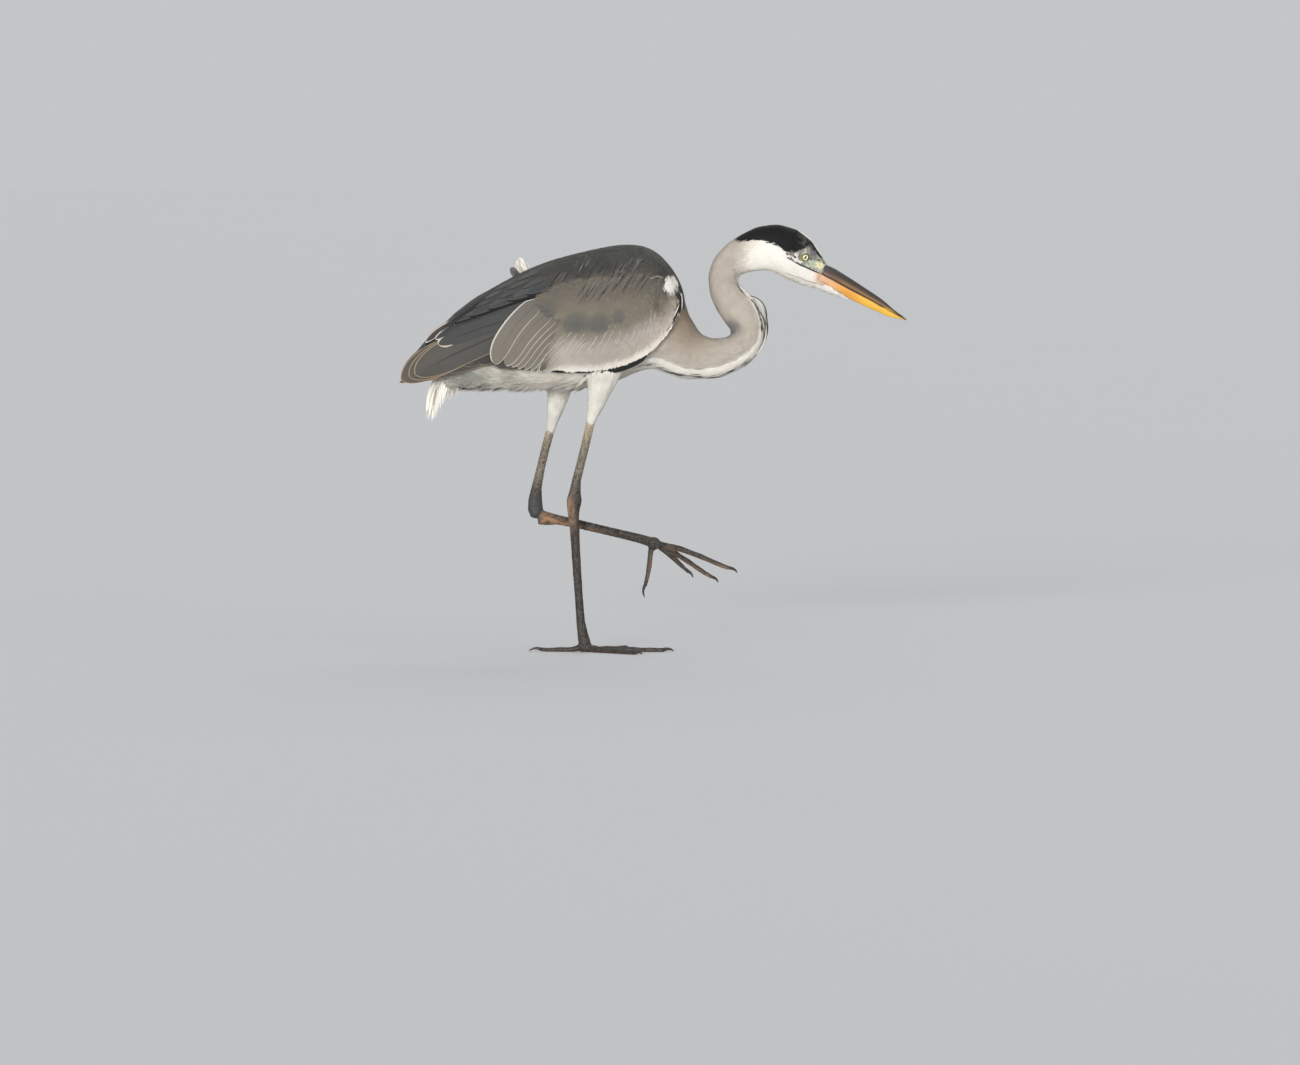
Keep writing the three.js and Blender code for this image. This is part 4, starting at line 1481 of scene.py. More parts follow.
# Bill: [x, middle z, half width, half depth] from inside the face to the tip, in millimetres.
BILL_AT = [
    (312, 555.2, 10, 12), (322, 549.5, 11.5, 14.5), (338, 541, 11.4, 15.2), (352, 534.4, 10.4, 15.2),
    (366, 526.6, 9.2, 14.4), (380.5, 518.8, 8, 13.2), (395, 510.6, 6.9, 12), (409, 502.6, 5.8, 11),
    (423, 494.6, 4.7, 9.2), (437.6, 485.6, 3.3, 6.4), (452, 479, 1.5, 2.9), (460, 475.2, 0.5, 0.8),
]
GAPE_SLOPE = -0.542
GAPE_AT = (352, 534)


def gape_height(x):
    return GAPE_AT[1] + GAPE_SLOPE * (x - GAPE_AT[0])


def bill_half(upper):
    """One half of the bill: a tapering shell with a ridge, cutting edges and, above, a nostril groove."""
    rows, around = 90, 40
    line = curve(BILL_AT, rows + 1)
    ahead = unit(np.gradient(line[:, :2], axis=0))
    bm = bmesh.new()
    bmesh.ops.create_grid(bm, x_segments=around, y_segments=rows, size=0.5)
    uv = {}
    up_sign = 1 if upper else -1
    for v in bm.verts:
        half, part = divmod((v.co.x + 0.5) * 2, 1)
        turn = (half + part * part * (3 - 2 * part)) * math.pi
        row = int(round((v.co.y + 0.5) * rows))
        x, z, wide, deep = line[row]
        t = ahead[row]
        # distance across the bill from its middle to the gape plane, square to its length
        gap = (gape_height(x) - z) / max(t[0] - GAPE_SLOPE * t[1], 0.3)
        gap = max(min(gap, deep * 0.6), -deep * 0.6)
        top = deep - gap * up_sign
        edge = 0.12
        across, over = math.cos(turn), math.sin(turn)
        if over >= 0:
            high = max(top * over ** (0.92 if upper else 0.85), edge)
            swell = wide * abs(across) ** 0.82 * math.copysign(1, across)
        else:
            high = edge
            swell = wide * 0.93 * across
        if upper:
            run = row / rows
            groove = math.exp(-(((over - 0.52) / 0.10) ** 2)) * max(0, 1 - run / 0.72) * (over > 0)
            swell *= 1 - 0.085 * groove
            if 0.19 < run < 0.30:
                slit = math.exp(-(((over - 0.50) / 0.055) ** 2))
                slit *= math.sin((run - 0.19) / 0.11 * math.pi) ** 0.6
                swell *= 1 - 0.16 * slit * (over > 0)
        px = x - t[1] * (gap + high * up_sign)
        pz = z + t[0] * (gap + high * up_sign)
        uv[v.index] = (row / rows, turn / (2 * math.pi))
        v.co = Vector((px, swell, pz)) * MM
    bmesh.ops.remove_doubles(bm, verts=bm.verts, dist=0.02 * MM)
    bmesh.ops.holes_fill(bm, edges=[e for e in bm.edges if e.is_boundary], sides=0)
    bmesh.ops.recalc_face_normals(bm, faces=bm.faces)
    return bm


CHIN_EDGE = [(325, 0.66), (396, 1.04)]  # upper edge of the chin's feathers: [x, share of the bill's depth]


def bill_paint(places, upper):
    """Horn above with an ochre side, orange to yellow below with white feathering on the chin."""
    x, _, z = (places / MM).T
    b = bare()
    run = np.clip((x - 322) / 138, 0, 1)
    deep = np.interp(x, *np.transpose(BILL_AT)[[0, 3]]) + 0.5
    height = np.abs(z - gape_height(x)) / deep
    if upper:
        base = mix(b.horn, b.horn * (1.9, 1.6, 1.5), value_noise(places, 0.003, 61) * 0.8)
        ochre = smooth(0.62, 0.30, height) * smooth(0.12, 0.40, run) * smooth(1.05, 0.9, run)
        base = mix(base, paint(0.56, 0.42, 0.26), ochre * 0.9)
        cere = smooth(0.30, 0.08, run) * smooth(0.25, 0.5, height)
        base = mix(base, paint(0.27, 0.285, 0.295), cere * 0.85)
        rosy = smooth(0.45, 0.20, height) * smooth(0.30, 0.18, run)
        base = mix(base, paint(0.52, 0.41, 0.37), rosy * 0.8)
        edge = smooth(1.9, 1.2, np.abs(z - gape_height(x)))
        return mix(base, paint(0.07, 0.05, 0.045), edge * 0.96)
    base = mix(b.bill_base, b.bill_orange, smooth(0.10, 0.40, run))
    base = mix(base, paint(0.94, 0.76, 0.28), smooth(0.40, 0.60, run) * 0.75)
    base = mix(base, paint(0.72, 0.55, 0.24), smooth(0.90, 1.0, run) * 0.7)
    edge = smooth(1.3, 0.7, np.abs(z - gape_height(x)))
    base = mix(base, paint(0.12, 0.07, 0.05), edge * 0.95)
    start = level(CHIN_EDGE, x)
    chin = smooth(-0.03, 0.03, height - start) * smooth(378, 364, x)
    base = mix(base, coats().white * 0.95, chin)
    # painted shade: a darker line along the fold where the chin's feathers meet the bill
    fold = smooth(0.06, 0.02, np.abs(height - start)) * smooth(382, 370, x)
    return mix(base, paint(0.42, 0.36, 0.30), fold * 0.6)


class HERON_OT_bill(bpy.types.Operator):
    """Upper and lower bill, with ridge, nostrils and cutting edges"""

    bl_idname = "heron.bill"
    bl_label = "Bill"

    def execute(self, context):
        for upper, name in ((True, "bill_upper"), (False, "bill_lower")):
            mesh = mesh_of(bill_half(upper), f"{name}_horn")
            places, _, _ = read_mesh(mesh)
            set_tint(mesh, np.clip(bill_paint(places, upper), 0, 1))
            x, y, z = (places / MM).T
            run = (x - 312) / 150
            set_map(mesh, "Horn", np.stack([run, np.arctan2(y, z - gape_height(x)) / 6.3 + 0.5], 1))
            put(f"{name}_horn", mesh, horn_finish("Bill_horn", 0.36), (name,))
        return {"FINISHED"}


class HERON_OT_claws(bpy.types.Operator):
    """The eight claws, smooth and pointed"""

    bl_idname = "heron.claws"
    bl_label = "Claws"

    def execute(self, context):
        nodes = [n.replace("toe_", "claw_") for n in TOE_NODES]
        bm = bmesh.new()
        for name in nodes:
            single = bmesh.new()
            single.from_mesh(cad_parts[name].data)
            bmesh.ops.remove_doubles(single, verts=single.verts, dist=2e-6)
            way = Vector(limb_axis(name.replace("claw_", "toe_"))[1])
            inner = min(v.co.dot(way) for v in single.verts)
            base = [v for v in single.verts if v.co.dot(way) < inner + 0.6 * MM]
            bmesh.ops.translate(single, verts=base, vec=-way * 2.2 * MM)
            bmesh.ops.subdivide_edges(single, edges=single.edges, cuts=1, use_grid_fill=True)
            for _ in range(3):
                bmesh.ops.smooth_vert(
                    single, verts=single.verts, factor=0.35, use_axis_x=True, use_axis_y=True, use_axis_z=True
                )
            for v in single.verts:
                v.co.z = max(v.co.z, 0.0)
            part = mesh_of(single, name)
            bm.from_mesh(part)
            bpy.data.meshes.remove(part)
        bmesh.ops.recalc_face_normals(bm, faces=bm.faces)
        mesh = mesh_of(bm, "claws")
        places, _, _ = read_mesh(mesh)
        tint = mix(bare().claw, bare().claw * 2.2, value_noise(places, 0.003, 65) * 0.7)
        set_tint(mesh, tint)
        set_map(mesh, "Horn", places[:, [0, 1]] / 0.1)
        put("claws_horn", mesh, horn_finish("Claw_horn", 0.40), nodes)
        return {"FINISHED"}


def faces_of(form, *names):
    return among(form.parts[form.faces[:, 0]], *names)


def drawn_line(form, points, side, width, lift, tint):
    """A fine line of colour on the head, flat on one side of it or, with side 0, on edge up its middle."""
    places = []
    for x, z in curve(points, 40):
        start, way = ((x * MM, side * 0.1, z * MM), (0, -side, 0)) if side else ((x * MM, 0, 0.7), (0, 0, -1))
        hit = form.tree.ray_cast(start, way, 0.3)[0]
        if hit is not None:
            places.append(hit)
    places = np.array(places)[np.linspace(0, len(places) - 1, POINTS).astype(int)][None]
    ups = form.nearest(places[0])[1][None]
    if side == 0:
        places = places + ups * lift * MM
        ups = np.tile((0.0, 1.0, 0.0), (1, POINTS, 1))
        lift = 0.0
    return grow(
        "long", places, ups, width * MM, -lift * MM, lift * MM, np.random.default_rng(SEED), np.array([tint]),
        neck_chart(places[:, POINTS // 2]), settle=form.settle if side else None, shade=0.0, **FLAT,
    )


class HERON_OT_head_feathers(bpy.types.Operator):
    """Short close feathers of crown, face and throat"""

    bl_idname = "heron.head_feathers"
    bl_label = "Head feathers"

    def execute(self, context):
        form = coat_form()
        x, _, z = (form.centres / MM).T
        bald = (z > level(GAPE_LINE, x) - 1.4) & (z < level(CROWN_EDGE, x) - 1.2) & (x > 302)
        bald |= (x > 378) | (line_distance(GAPE_LINE, x, z) < 1.4)
        wanted = faces_of(form, "head") & ~bald

        def size(roots):
            grown = np.interp(roots[:, 0] / MM, [215, 250, 300, 350], [2.1, 1.6, 1.0, 0.7])
            return grown * sizes().head_feather

        layer = lay(form, "point", wanted, 1.55 * MM, size, 1.0 * MM, sizes().head_depth * 0.6,
                    0.08 * MM, SEED + 1, sway=0.07, chart=neck_chart, shade=0.05, tilt=0.02)
        beard = wanted & (x > 272) & (z < level(JAW_MARK, x) - 3)
        ragged = lay(form, "lock", beard, 3.0 * MM, 11 * MM, 1.7 * MM, 0.8 * MM, 2.2 * MM, SEED + 2,
                     sway=0.35, chart=neck_chart, shade=0.06)
        white, dark, grey = coats().white, paint(0.11, 0.08, 0.07), paint(0.58, 0.56, 0.53)
        # painted highlight: a pale ribbon on edge up the crown, the glint of light along its edge
        marks = [drawn_line(form, BROW_GLINT, 0, 0.75, 0.35, white * 0.8)]
        # the gape's dark line is the bird's own; the grey line under the jaw is painted shadow where the
        # throat feathers meet the jaw
        for side in (-1, 1):
            marks.append(drawn_line(form, GAPE_MARK, side, 1.0, 0.35, dark))
            marks.append(drawn_line(form, JAW_MARK, side, 0.5, 0.75, grey))
        feather_piece("head_feathers", [layer, ragged, *marks], down_finish())
        return {"FINISHED"}


class HERON_OT_neck_feathers(bpy.types.Operator):
    """Narrow feathers of the neck, longer towards the breast"""

    bl_idname = "heron.neck_feathers"
    bl_label = "Neck feathers"

    def execute(self, context):
        form = coat_form()

        def size(roots):
            s, _ = neck_place(roots)
            return sizes().neck_feather * (1 + 0.9 * smooth(0.45, 0.1, s))

        layer = lay(form, "lock", faces_of(form, *NECK_NODES), 2.3 * MM, size, 1.6 * MM,
                    sizes().neck_depth * 0.55, 0.12 * MM, SEED + 12, sway=0.06, chart=neck_chart, shade=0.035,
                    tilt=0.02)
        feather_piece("neck_feathers", [layer], down_finish())

        # long plumes down the front of the bend: white ones with some black between
        s, turn = neck_place(form.centres)
        front = faces_of(form, *NECK_NODES) & (turn > 2.78) & (s > 0.34) & (s < 0.475)

        def hue(seen, parts):
            tone = np.random.default_rng(SEED + 14).random(len(seen))
            return mix(coats().white, coats().black, tone > 0.74)

        plumes = lay(form, "plume", front, 5.0 * MM, 44 * MM, 1.25 * MM, 1.5 * MM, 2.0 * MM, SEED + 15,
                     sway=0.10, chart=neck_chart, hue=hue, shade=0.05)
        row = faces_of(form, *NECK_NODES) & (np.abs(turn - 2.55) < 0.16) & (s > 0.10) & (s < 0.40)
        streaks = lay(form, "plume", row, 6.5 * MM, 34 * MM, 0.7 * MM, 1.2 * MM, 0.9 * MM, SEED + 16,
                      sway=0.05, chart=neck_chart, hue=hue, shade=0.05)
        feather_piece("neck_plumes", [plumes, streaks, throat_curl()], down_finish())
        return {"FINISHED"}


# The way the front plumes fall, standing a little off the bend of the neck.
PLUME_PATH = [
    (227, 512), (239, 509), (251, 503.5), (258, 494), (261, 481), (262.5, 461), (259, 445), (250, 430),
    (237, 419),
]


def throat_curl():
    """Plumes that stand off the front of the bend and fall down along it, white with some black."""
    rng = np.random.default_rng(SEED + 17)
    count, path = 70, curve(PLUME_PATH, 90)
    lines = []
    for k in range(count):
        first = rng.integers(0, 8) if k < 26 else rng.integers(8, 48)
        run = np.linspace(first, min(first + rng.integers(30, 42), 89), POINTS).astype(int)
        inward = rng.uniform(-0.5, 4.0) * np.linspace(1.2, 0.4, POINTS)
        aside = rng.uniform(-8, 8) * np.linspace(0.7, 1.0, POINTS) + rng.normal(0, 0.6)
        lines.append(np.stack([path[run, 0] - inward, aside, path[run, 1] - inward * 0.3], 1))
    lines = np.array(lines) * MM
    ahead = unit(np.gradient(lines, axis=1))
    ups = np.cross(np.tile((0.0, 1.0, 0.0), (count, POINTS, 1)), ahead)
    ups = unit(ups + rng.normal(0, 0.5, (count, 1, 3)))
    tint = mix(np.tile(coats().white, (count, 1)), coats().black, rng.random(count) > 0.72)
    return grow("plume", lines, ups, 1.25 * MM, 0, 0, rng, tint, neck_chart(lines[:, 0]), shade=0.05)


class HERON_OT_underparts(bpy.types.Operator):
    """White down of belly, flanks and undertail, and the short feathers of the thighs"""

    bl_idname = "heron.underparts"
    bl_label = "Underparts"

    def execute(self, context):
        form = coat_form()
        x, _, z = (form.centres / MM).T
        below = (z < level(MANTLE_EDGE, x) - 6) & ((z < 425) | (x > -90))
        belly = lay(form, "lock", faces_of(form, "trunk") & below, 3.4 * MM, sizes().belly_feather,
                    2.6 * MM, sizes().body_depth * 0.5, 0.6 * MM, SEED + 22, sway=0.25, shade=0.05)
        low = faces_of(form, "trunk") & (z < np.minimum(396, level(WING_EDGE, x) - 4)) & (x < 10)
        loose = lay(form, "lock", low, 6.0 * MM, 27 * MM, 3.4 * MM, 2 * MM, 2.6 * MM, SEED + 25,
                    sway=0.5, shade=0.08)
        fluff = lay(form, "plume", low, 5.5 * MM, 24 * MM, 0.7 * MM, 1 * MM, 4.0 * MM, SEED + 26,
                    sway=0.7, shade=0.06)
        thigh = lay(form, "lock", faces_of(form, "thigh_left", "thigh_right"), 2.1 * MM, 11 * MM,
                    1.4 * MM, 1.2 * MM, 0.1 * MM, SEED + 24, chart=limb_chart, shade=0.04, tilt=0.02)
        # tufts that hang clear of the belly here and there
        clump = value_noise(form.centres, 0.016, 27) > 0.54
        hanging = lay(form, "lock", low & clump, 4.2 * MM, 26 * MM, 3.0 * MM, 1 * MM, 7.0 * MM, SEED + 27,
                      sway=0.35, shade=0.08)
        feather_piece("belly_feathers", [belly, loose, fluff, hanging], down_finish())
        feather_piece("thigh_feathers", [thigh], down_finish())
        return {"FINISHED"}


class HERON_OT_back(bpy.types.Operator):
    """Grey feathers of the back, and the hair-like plumes of the shoulders over the wings"""

    bl_idname = "heron.back"
    bl_label = "Back and plumes"

    def execute(self, context):
        form = coat_form()
        x, y, z = (form.centres / MM).T
        edge = level(MANTLE_EDGE, x)
        clear = np.interp(x, [-210, -90, -30, 30], [20, 26, 8, -3])
        wanted = faces_of(form, "trunk", "wing_right", "wing_left") & (z > edge + clear)

        def hue(seen, parts):
            return back_paint(seen)

        def long(roots):
            return np.interp(roots[:, 0] / MM, [-150, -40, 110], [1.3, 1.1, 0.75]) * sizes().back_feather

        short = lay(form, "lock", wanted, 3.0 * MM, long, 2.3 * MM, 1.3 * MM, 0.2 * MM, SEED + 32,
                    sway=0.07, hue=hue, shade=0.05, tilt=0.02, camber=0.03)
        # where the feathers part at the front of the back, loose ones lie across the parting
        parting = wanted & (x > 92) & (np.abs(y) < 22)
        across = lay(form, "lock", parting, 2.3 * MM, 15 * MM, 2.5 * MM, 0.3 * MM, 0.3 * MM, SEED + 36,
                     sway=0.9, hue=hue, shade=0.05, tilt=0.02, camber=0.03)
        feather_piece("back_feathers", [short, across], vane_finish())
        layers = []
        for side in (-1, 1):
            layers += shoulder_plumes(wing_side(side))
        feather_piece("shoulder_plumes", layers, down_finish())
        return {"FINISHED"}


# Places [x, z] where the thin shoulder plumes gather, and how many there are at each.
PLUME_CLUMPS = [
    (15, 521, 22), (2, 556, 12), (54, 536, 24), (72, 554, 12), (-40, 536, 7), (34, 548, 9), (88, 538, 6),
]


def shoulder_plumes(wing):
    """Thin dark and pale threads that fall steeply over the upper coverts."""
    c = coats()
    rng = np.random.default_rng(SEED + 34)
    roots, tips = [], []
    for x, z, count in PLUME_CLUMPS:
        start = np.array((x, z)) + rng.normal(0, 1, (count, 2)) * (9, 4.5) + (6, 8)
        dip = np.radians(rng.normal(57, 6, count))
        long = rng.uniform(16, 32, (count, 1))
        roots.append(start)
        tips.append(start - np.stack([np.cos(dip), np.sin(dip)], 1) * long)
    roots, tips = np.vstack(roots), np.vstack(tips)
    tone = rng.random(len(roots))

    def hue(seen):
        base = mix(c.slate, c.plume * 1.45, (tone > 0.55).astype(float))
        return mix(base, c.slate * 0.42, (tone < 0.30).astype(float))

    return wing.feathers("plume", roots, tips, 0.02, 0.48, -0.5, 1.1, SEED + 35, hue=hue, shade=0.1)


def behind(tips, long):
    """Roots of feathers of the given length whose tips are at these places."""
    dip = dip_at(tips[:, 0] + 20, tips[:, 1] + 20)
    return tips + np.stack([np.cos(dip), np.sin(dip)], 1) * np.asarray(long).reshape(-1, 1)


# Feathers of the end of the folded wing: [root x, root z, tip x, tip z, half width, height over the wing].
# Each root lies as far under its tip as the feathers there are deep, so the order stays along their length.
OUTER_QUILLS = [
    (-70, 440, -262, 386, 7, -1.4), (-66, 440, -249, 387, 8, -1.2), (-62, 441, -234, 388.5, 9, -1.0),
    (-56, 443, -214, 393, 9, -0.8), (-50, 446, -192, 401, 9, -0.6), (-44, 450, -170, 411, 9, -0.4),
    (-36, 450, -148, 414, 9, -0.2), (-24, 446, -122, 409, 11, 0.0),
]
TERTIALS = [
    (-60, 478, -260, 391, 26, 0.2), (-56, 480, -247.5, 395, 25, 0.7), (-52, 482, -239, 399.5, 24, 1.2),
]
INNER_TERTIALS = [(-42, 492, -206, 441, 13, 1.8)]
# Long smooth feathers of the shoulder that lie back along the wing.
SCAPULARS = [
    (-68, 515, -184, 473, 5.5, 0.6), (-52, 521, -160, 483, 6.5, 0.9), (-34, 527, -134, 493, 7, 1.2),
    (-16, 531, -106, 505, 7, 1.5), (0, 533, -80, 514, 6, 1.7),
]
# Top of the back over the wing ends as [x, z], and where the tips of the narrow feathers over the wing start.
BACK_TOP = [
    (-230, 437), (-210, 458), (-190, 478), (-170, 494), (-150, 509), (-130, 521), (-110, 531), (-80, 545),
]
NARROW_START = np.array((-200.0, 467.0))
NARROW_WAY = np.array((0.923, 0.385))


def narrow_scapulars():
    """Rows of long narrow feathers over the wing, as a table like the ones above."""
    rows = []
    up = np.array((-NARROW_WAY[1], NARROW_WAY[0]))
    for row in range(8):
        for run in np.arange((row * 17) % 36, 150, 36):
            tip = NARROW_START + run * NARROW_WAY + 6.2 * row * up
            if tip[0] < -84 and tip[1] < level(BACK_TOP, tip[0]) - 2:
                root = tip + NARROW_WAY * np.interp(run, [0, 150], [104, 78])
                rows.append((*root, *tip, 4.7, 0.9 + 0.15 * row + 0.007 * run))
    return rows


# White-edged feathers at the rear end of the scapulars.
LOOPS = [(-150, 489, -225, 445, 5.5, 0.4), (-150, 480, -210, 448, 5.5, 2.2)]
# The fan of long coverts, the largest of them over its rear, and the dark wedge in front of it.
FAN = [
    (-20, 458, -66, 405, 7, 0.2), (-22, 466, -75, 405.5, 8, 0.6), (-25, 474, -84, 406.5, 9, 1.0),
    (-29, 481, -93, 408, 10.5, 1.4), (-34, 488, -102, 410, 12, 1.8), (-41, 495, -111, 412, 13.5, 2.2),
]
WEDGE = [(-30, 446, -62, 404, 5.5, 0.6)]
BIG_COVERT = [(-57, 506, -126, 415, 14, 2.9)]
# Black feathers that show under the wing's lower edge.
FLANK_BLACK = [
    (93, 429.5, 24, 401.2, 5.4, -0.6), (90, 426.5, 40, 403.4, 5.0, -0.5), (-3, 403.2, -47, 403.6, 2.2, 0.4),
    (14, 402.2, -14, 401.6, 1.5, 0.4),
]
FLANK_BOW = [-0.075, -0.06, 0.0, 0.0]
# The tips of the lowest row of coverts, as [x, z].
LOW_ROW = [(-66, 404), (-40, 403), (0, 403), (36, 407), (66, 415.5), (92, 430), (112, 448), (126, 468)]
# Thin black and white feathers down the bend of the wing: [root x, root z, tip x, tip z, half width, height].
BEND_BLACK = [
    (130, 534, 137.5, 508, 1.6, 0.3), (135, 523, 138.5, 497, 1.8, 0.3), (138, 510, 135, 484, 1.9, 0.4),
    (135, 496, 126, 470, 1.6, 0.4), (128, 478, 117, 460, 1.3, 0.4),
]
BEND_WHITE = [
    (132, 530, 139, 506, 0.7, 0.6), (139.5, 513, 138.5, 489, 0.7, 0.65), (135.5, 498, 127, 479, 0.6, 0.65),
    (127, 477, 118, 463, 0.5, 0.65),
]
# The white patch at the bend of the wing, and the thin white arc that runs back from it.
PATCH = [
    (118, 537, 113, 515, 3.4, 0.9), (122, 538, 117.5, 512, 3.6, 1.0), (126, 537.5, 122, 510, 3.6, 1.1),
    (129, 536, 126, 509, 3.2, 1.2), (131, 532, 129.5, 511, 2.4, 1.2),
]
PATCH_ARC = [
    (120, 536, 103, 538.5, 0.9, 0.9), (108, 538.5, 93, 535, 0.8, 0.9), (112, 539.5, 97, 538, 0.7, 0.9),
]


class HERON_OT_flight_feathers(bpy.types.Operator):
    """Long quills at the end of both wings, and the tail"""

    bl_idname = "heron.flight_feathers"
    bl_label = "Flight feathers"

    def execute(self, context):
        c = coats()
        layers = []

        def tone(seen):
            z = seen[:, 2] / MM
            base = mix(c.quill * 0.95, c.quill * (1.75, 1.58, 1.38), smooth(428, 386, z))
            return base * (0.9 + 0.2 * value_noise(seen, 0.03, 71))[:, None]

        def outer(seen):
            return tone(seen) * 0.75

        def upper(seen):
            return mix(c.slate, c.slate * (0.72, 0.80, 0.92), value_noise(seen, 0.025, 73))

        def highest(seen):
            return upper(seen) * (1.45, 1.38, 1.32)

        # black: the dark rims below the pale edges of the scapulars, narrow scapulars and loops, painted
        # shadow where each edge overhangs the feathers under it
        pale, black = c.slate * (2.1, 2.0, 1.9), c.black * 1.4
        pink = paint(0.80, 0.74, 0.69)
        narrow = narrow_scapulars()
        # table, blade, bow, depth of the roots, hue, spread of tone, seed and rims of each group
        groups = (
            (OUTER_QUILLS, "long", 0.02, 2.6, outer, 0.05, 61, [(c.buff, 0.4, 0.4)]),
            (TERTIALS, "long", 0.02, 3.0, tone, 0.02, 63, [(c.buff, 0.8, 0.9), (c.buff, -0.9, 1.3)]),
            (INNER_TERTIALS, "long", 0.03, 3.4, tone, 0.03, 67, [(pink, -0.9, 1.0, 0.7)]),
            (SCAPULARS, "long", 0.03, 3.2, upper, 0.08, 64, [(pale, 0.7, 0.7), (black, 3.0, 2.0)]),
            (narrow, "long", 0.03, 3.6, highest, 0.14, 65, [(pale, 0.35, 0.4), (black, 0.9, 0.6)]),
            (LOOPS, "covert", 0.05, 5.2, upper, 0.1, 66,
             [(pink, -1.7, 1.6), (c.white, 0.8, 1.2), (black, 2.8, 2.2)]),
        )
        for side in (-1, 1):
            wing = wing_side(side)
            for rows, blade, bow, deep, hue, shade, seed, rims in groups:
                layers += wing.listed(blade, rows, bow, seed, deep, hue=hue, rims=rims, shade=shade, **FLAT)
        layers += tail_roof(c)
        layers += tail_quills(c)
        feather_piece("flight_feathers", layers, quill_finish())
        return {"FINISHED"}


# Rows of feathers over the tail, between the ends of the folded wings: [root x, tip x].
ROOF_ROWS = [(-174, -256), (-163, -242), (-148, -222), (-134, -204), (-122, -188)]


def roof_height(x, y):
    """Height of the back at a place, with the hollow between the wing ends bridged, in millimetres."""
    cast = coat_form().tree.ray_cast
    best = 0.0
    for out in np.arange(abs(y), 26, 2.0):
        hit = cast((max(x, -260) * MM, out * MM, 0.7), (0, 0, -1), 0.5)[0]
        best = max(best, hit.z / MM if hit else 0.0)
    return best


def tail_roof(c):
    """Feathers that close the gap between the ends of the folded wings, over the tail."""
    rng = np.random.default_rng(SEED + 68)
    layers = []
    for k, (root, tip) in enumerate(ROOF_ROWS):
        across = np.linspace(-17, 17, 8) + (k % 2) * 2.2
        x = np.linspace(root, tip, POINTS)[None].repeat(len(across), 0) + rng.normal(0, 1.6, (len(across), 1))
        y = across[:, None] * np.linspace(1.05, 0.95, POINTS)
        z = np.vectorize(roof_height)(x, y) + 0.6 + 0.4 * k - np.linspace(3.5, 0, POINTS)
        lines = np.stack([x, y, z], 2) * MM
        ups = np.tile(unit(np.array((-0.62, 0, 0.78))), (*x.shape, 1))
        ups[..., 1] += y * 0.022
        tint = c.slate * rng.uniform(0.8, 1.05, (len(across), 1))
        chart = body_chart(lines[:, POINTS // 2])
        layers.append(grow("covert", lines, unit(ups), 6.5 * MM, 0, 0, rng, tint, chart,
                           loose=0.0, tilt=0.02))
    return layers


def tail_quills(c):
    """Twelve tail feathers, fanned a little and stacked from the outside in."""
    rng = np.random.default_rng(SEED + 66)
    layers = []
    for k in range(12):
        out = (k - 5.5) / 5.5
        t = np.linspace(0, 1, POINTS)[:, None]
        start, end = np.array((-160, out * 13, 446)), np.array((-262 + 5 * abs(out), out * 13, 394))
        line = start * (1 - t) + end * t + np.array((0, 0, 1.0)) * (6 * t * (1 - t)) * 2
        line[:, 2] += (1 - abs(out)) * 2.4
        up = unit(np.array((-0.45, out * 0.35, 0.9)))
        tint = c.quill[None] * 0.95
        line = line[None] * MM
        chart = body_chart(line[:, POINTS // 2])
        ups = np.tile(up, (1, POINTS, 1))
        layers.append(grow("long", line, ups, 7.5 * MM, 0, 0, rng, tint, chart))
    return layers


def even_places(x_range, z_range, gap, seed):
    """Loosely even places in a box of the side view."""
    rng = np.random.default_rng(seed)
    rows = np.arange(z_range[0], z_range[1], gap * 0.87)
    grid = [(x + gap / 2 * (k % 2), z) for k, z in enumerate(rows) for x in np.arange(*x_range, gap)]
    return np.array(grid) + rng.normal(0, gap * 0.22, (len(grid), 2))


# How far back the small coverts reach, and how far forward, at heights up the wing: [z, x].
FAN_FRONT = [(405, -64), (440, -50), (468, -36), (480, -58), (495, -72), (520, -70)]
BEND_FRONT = [(440, 112), (470, 125), (505, 137), (530, 132), (545, 118)]


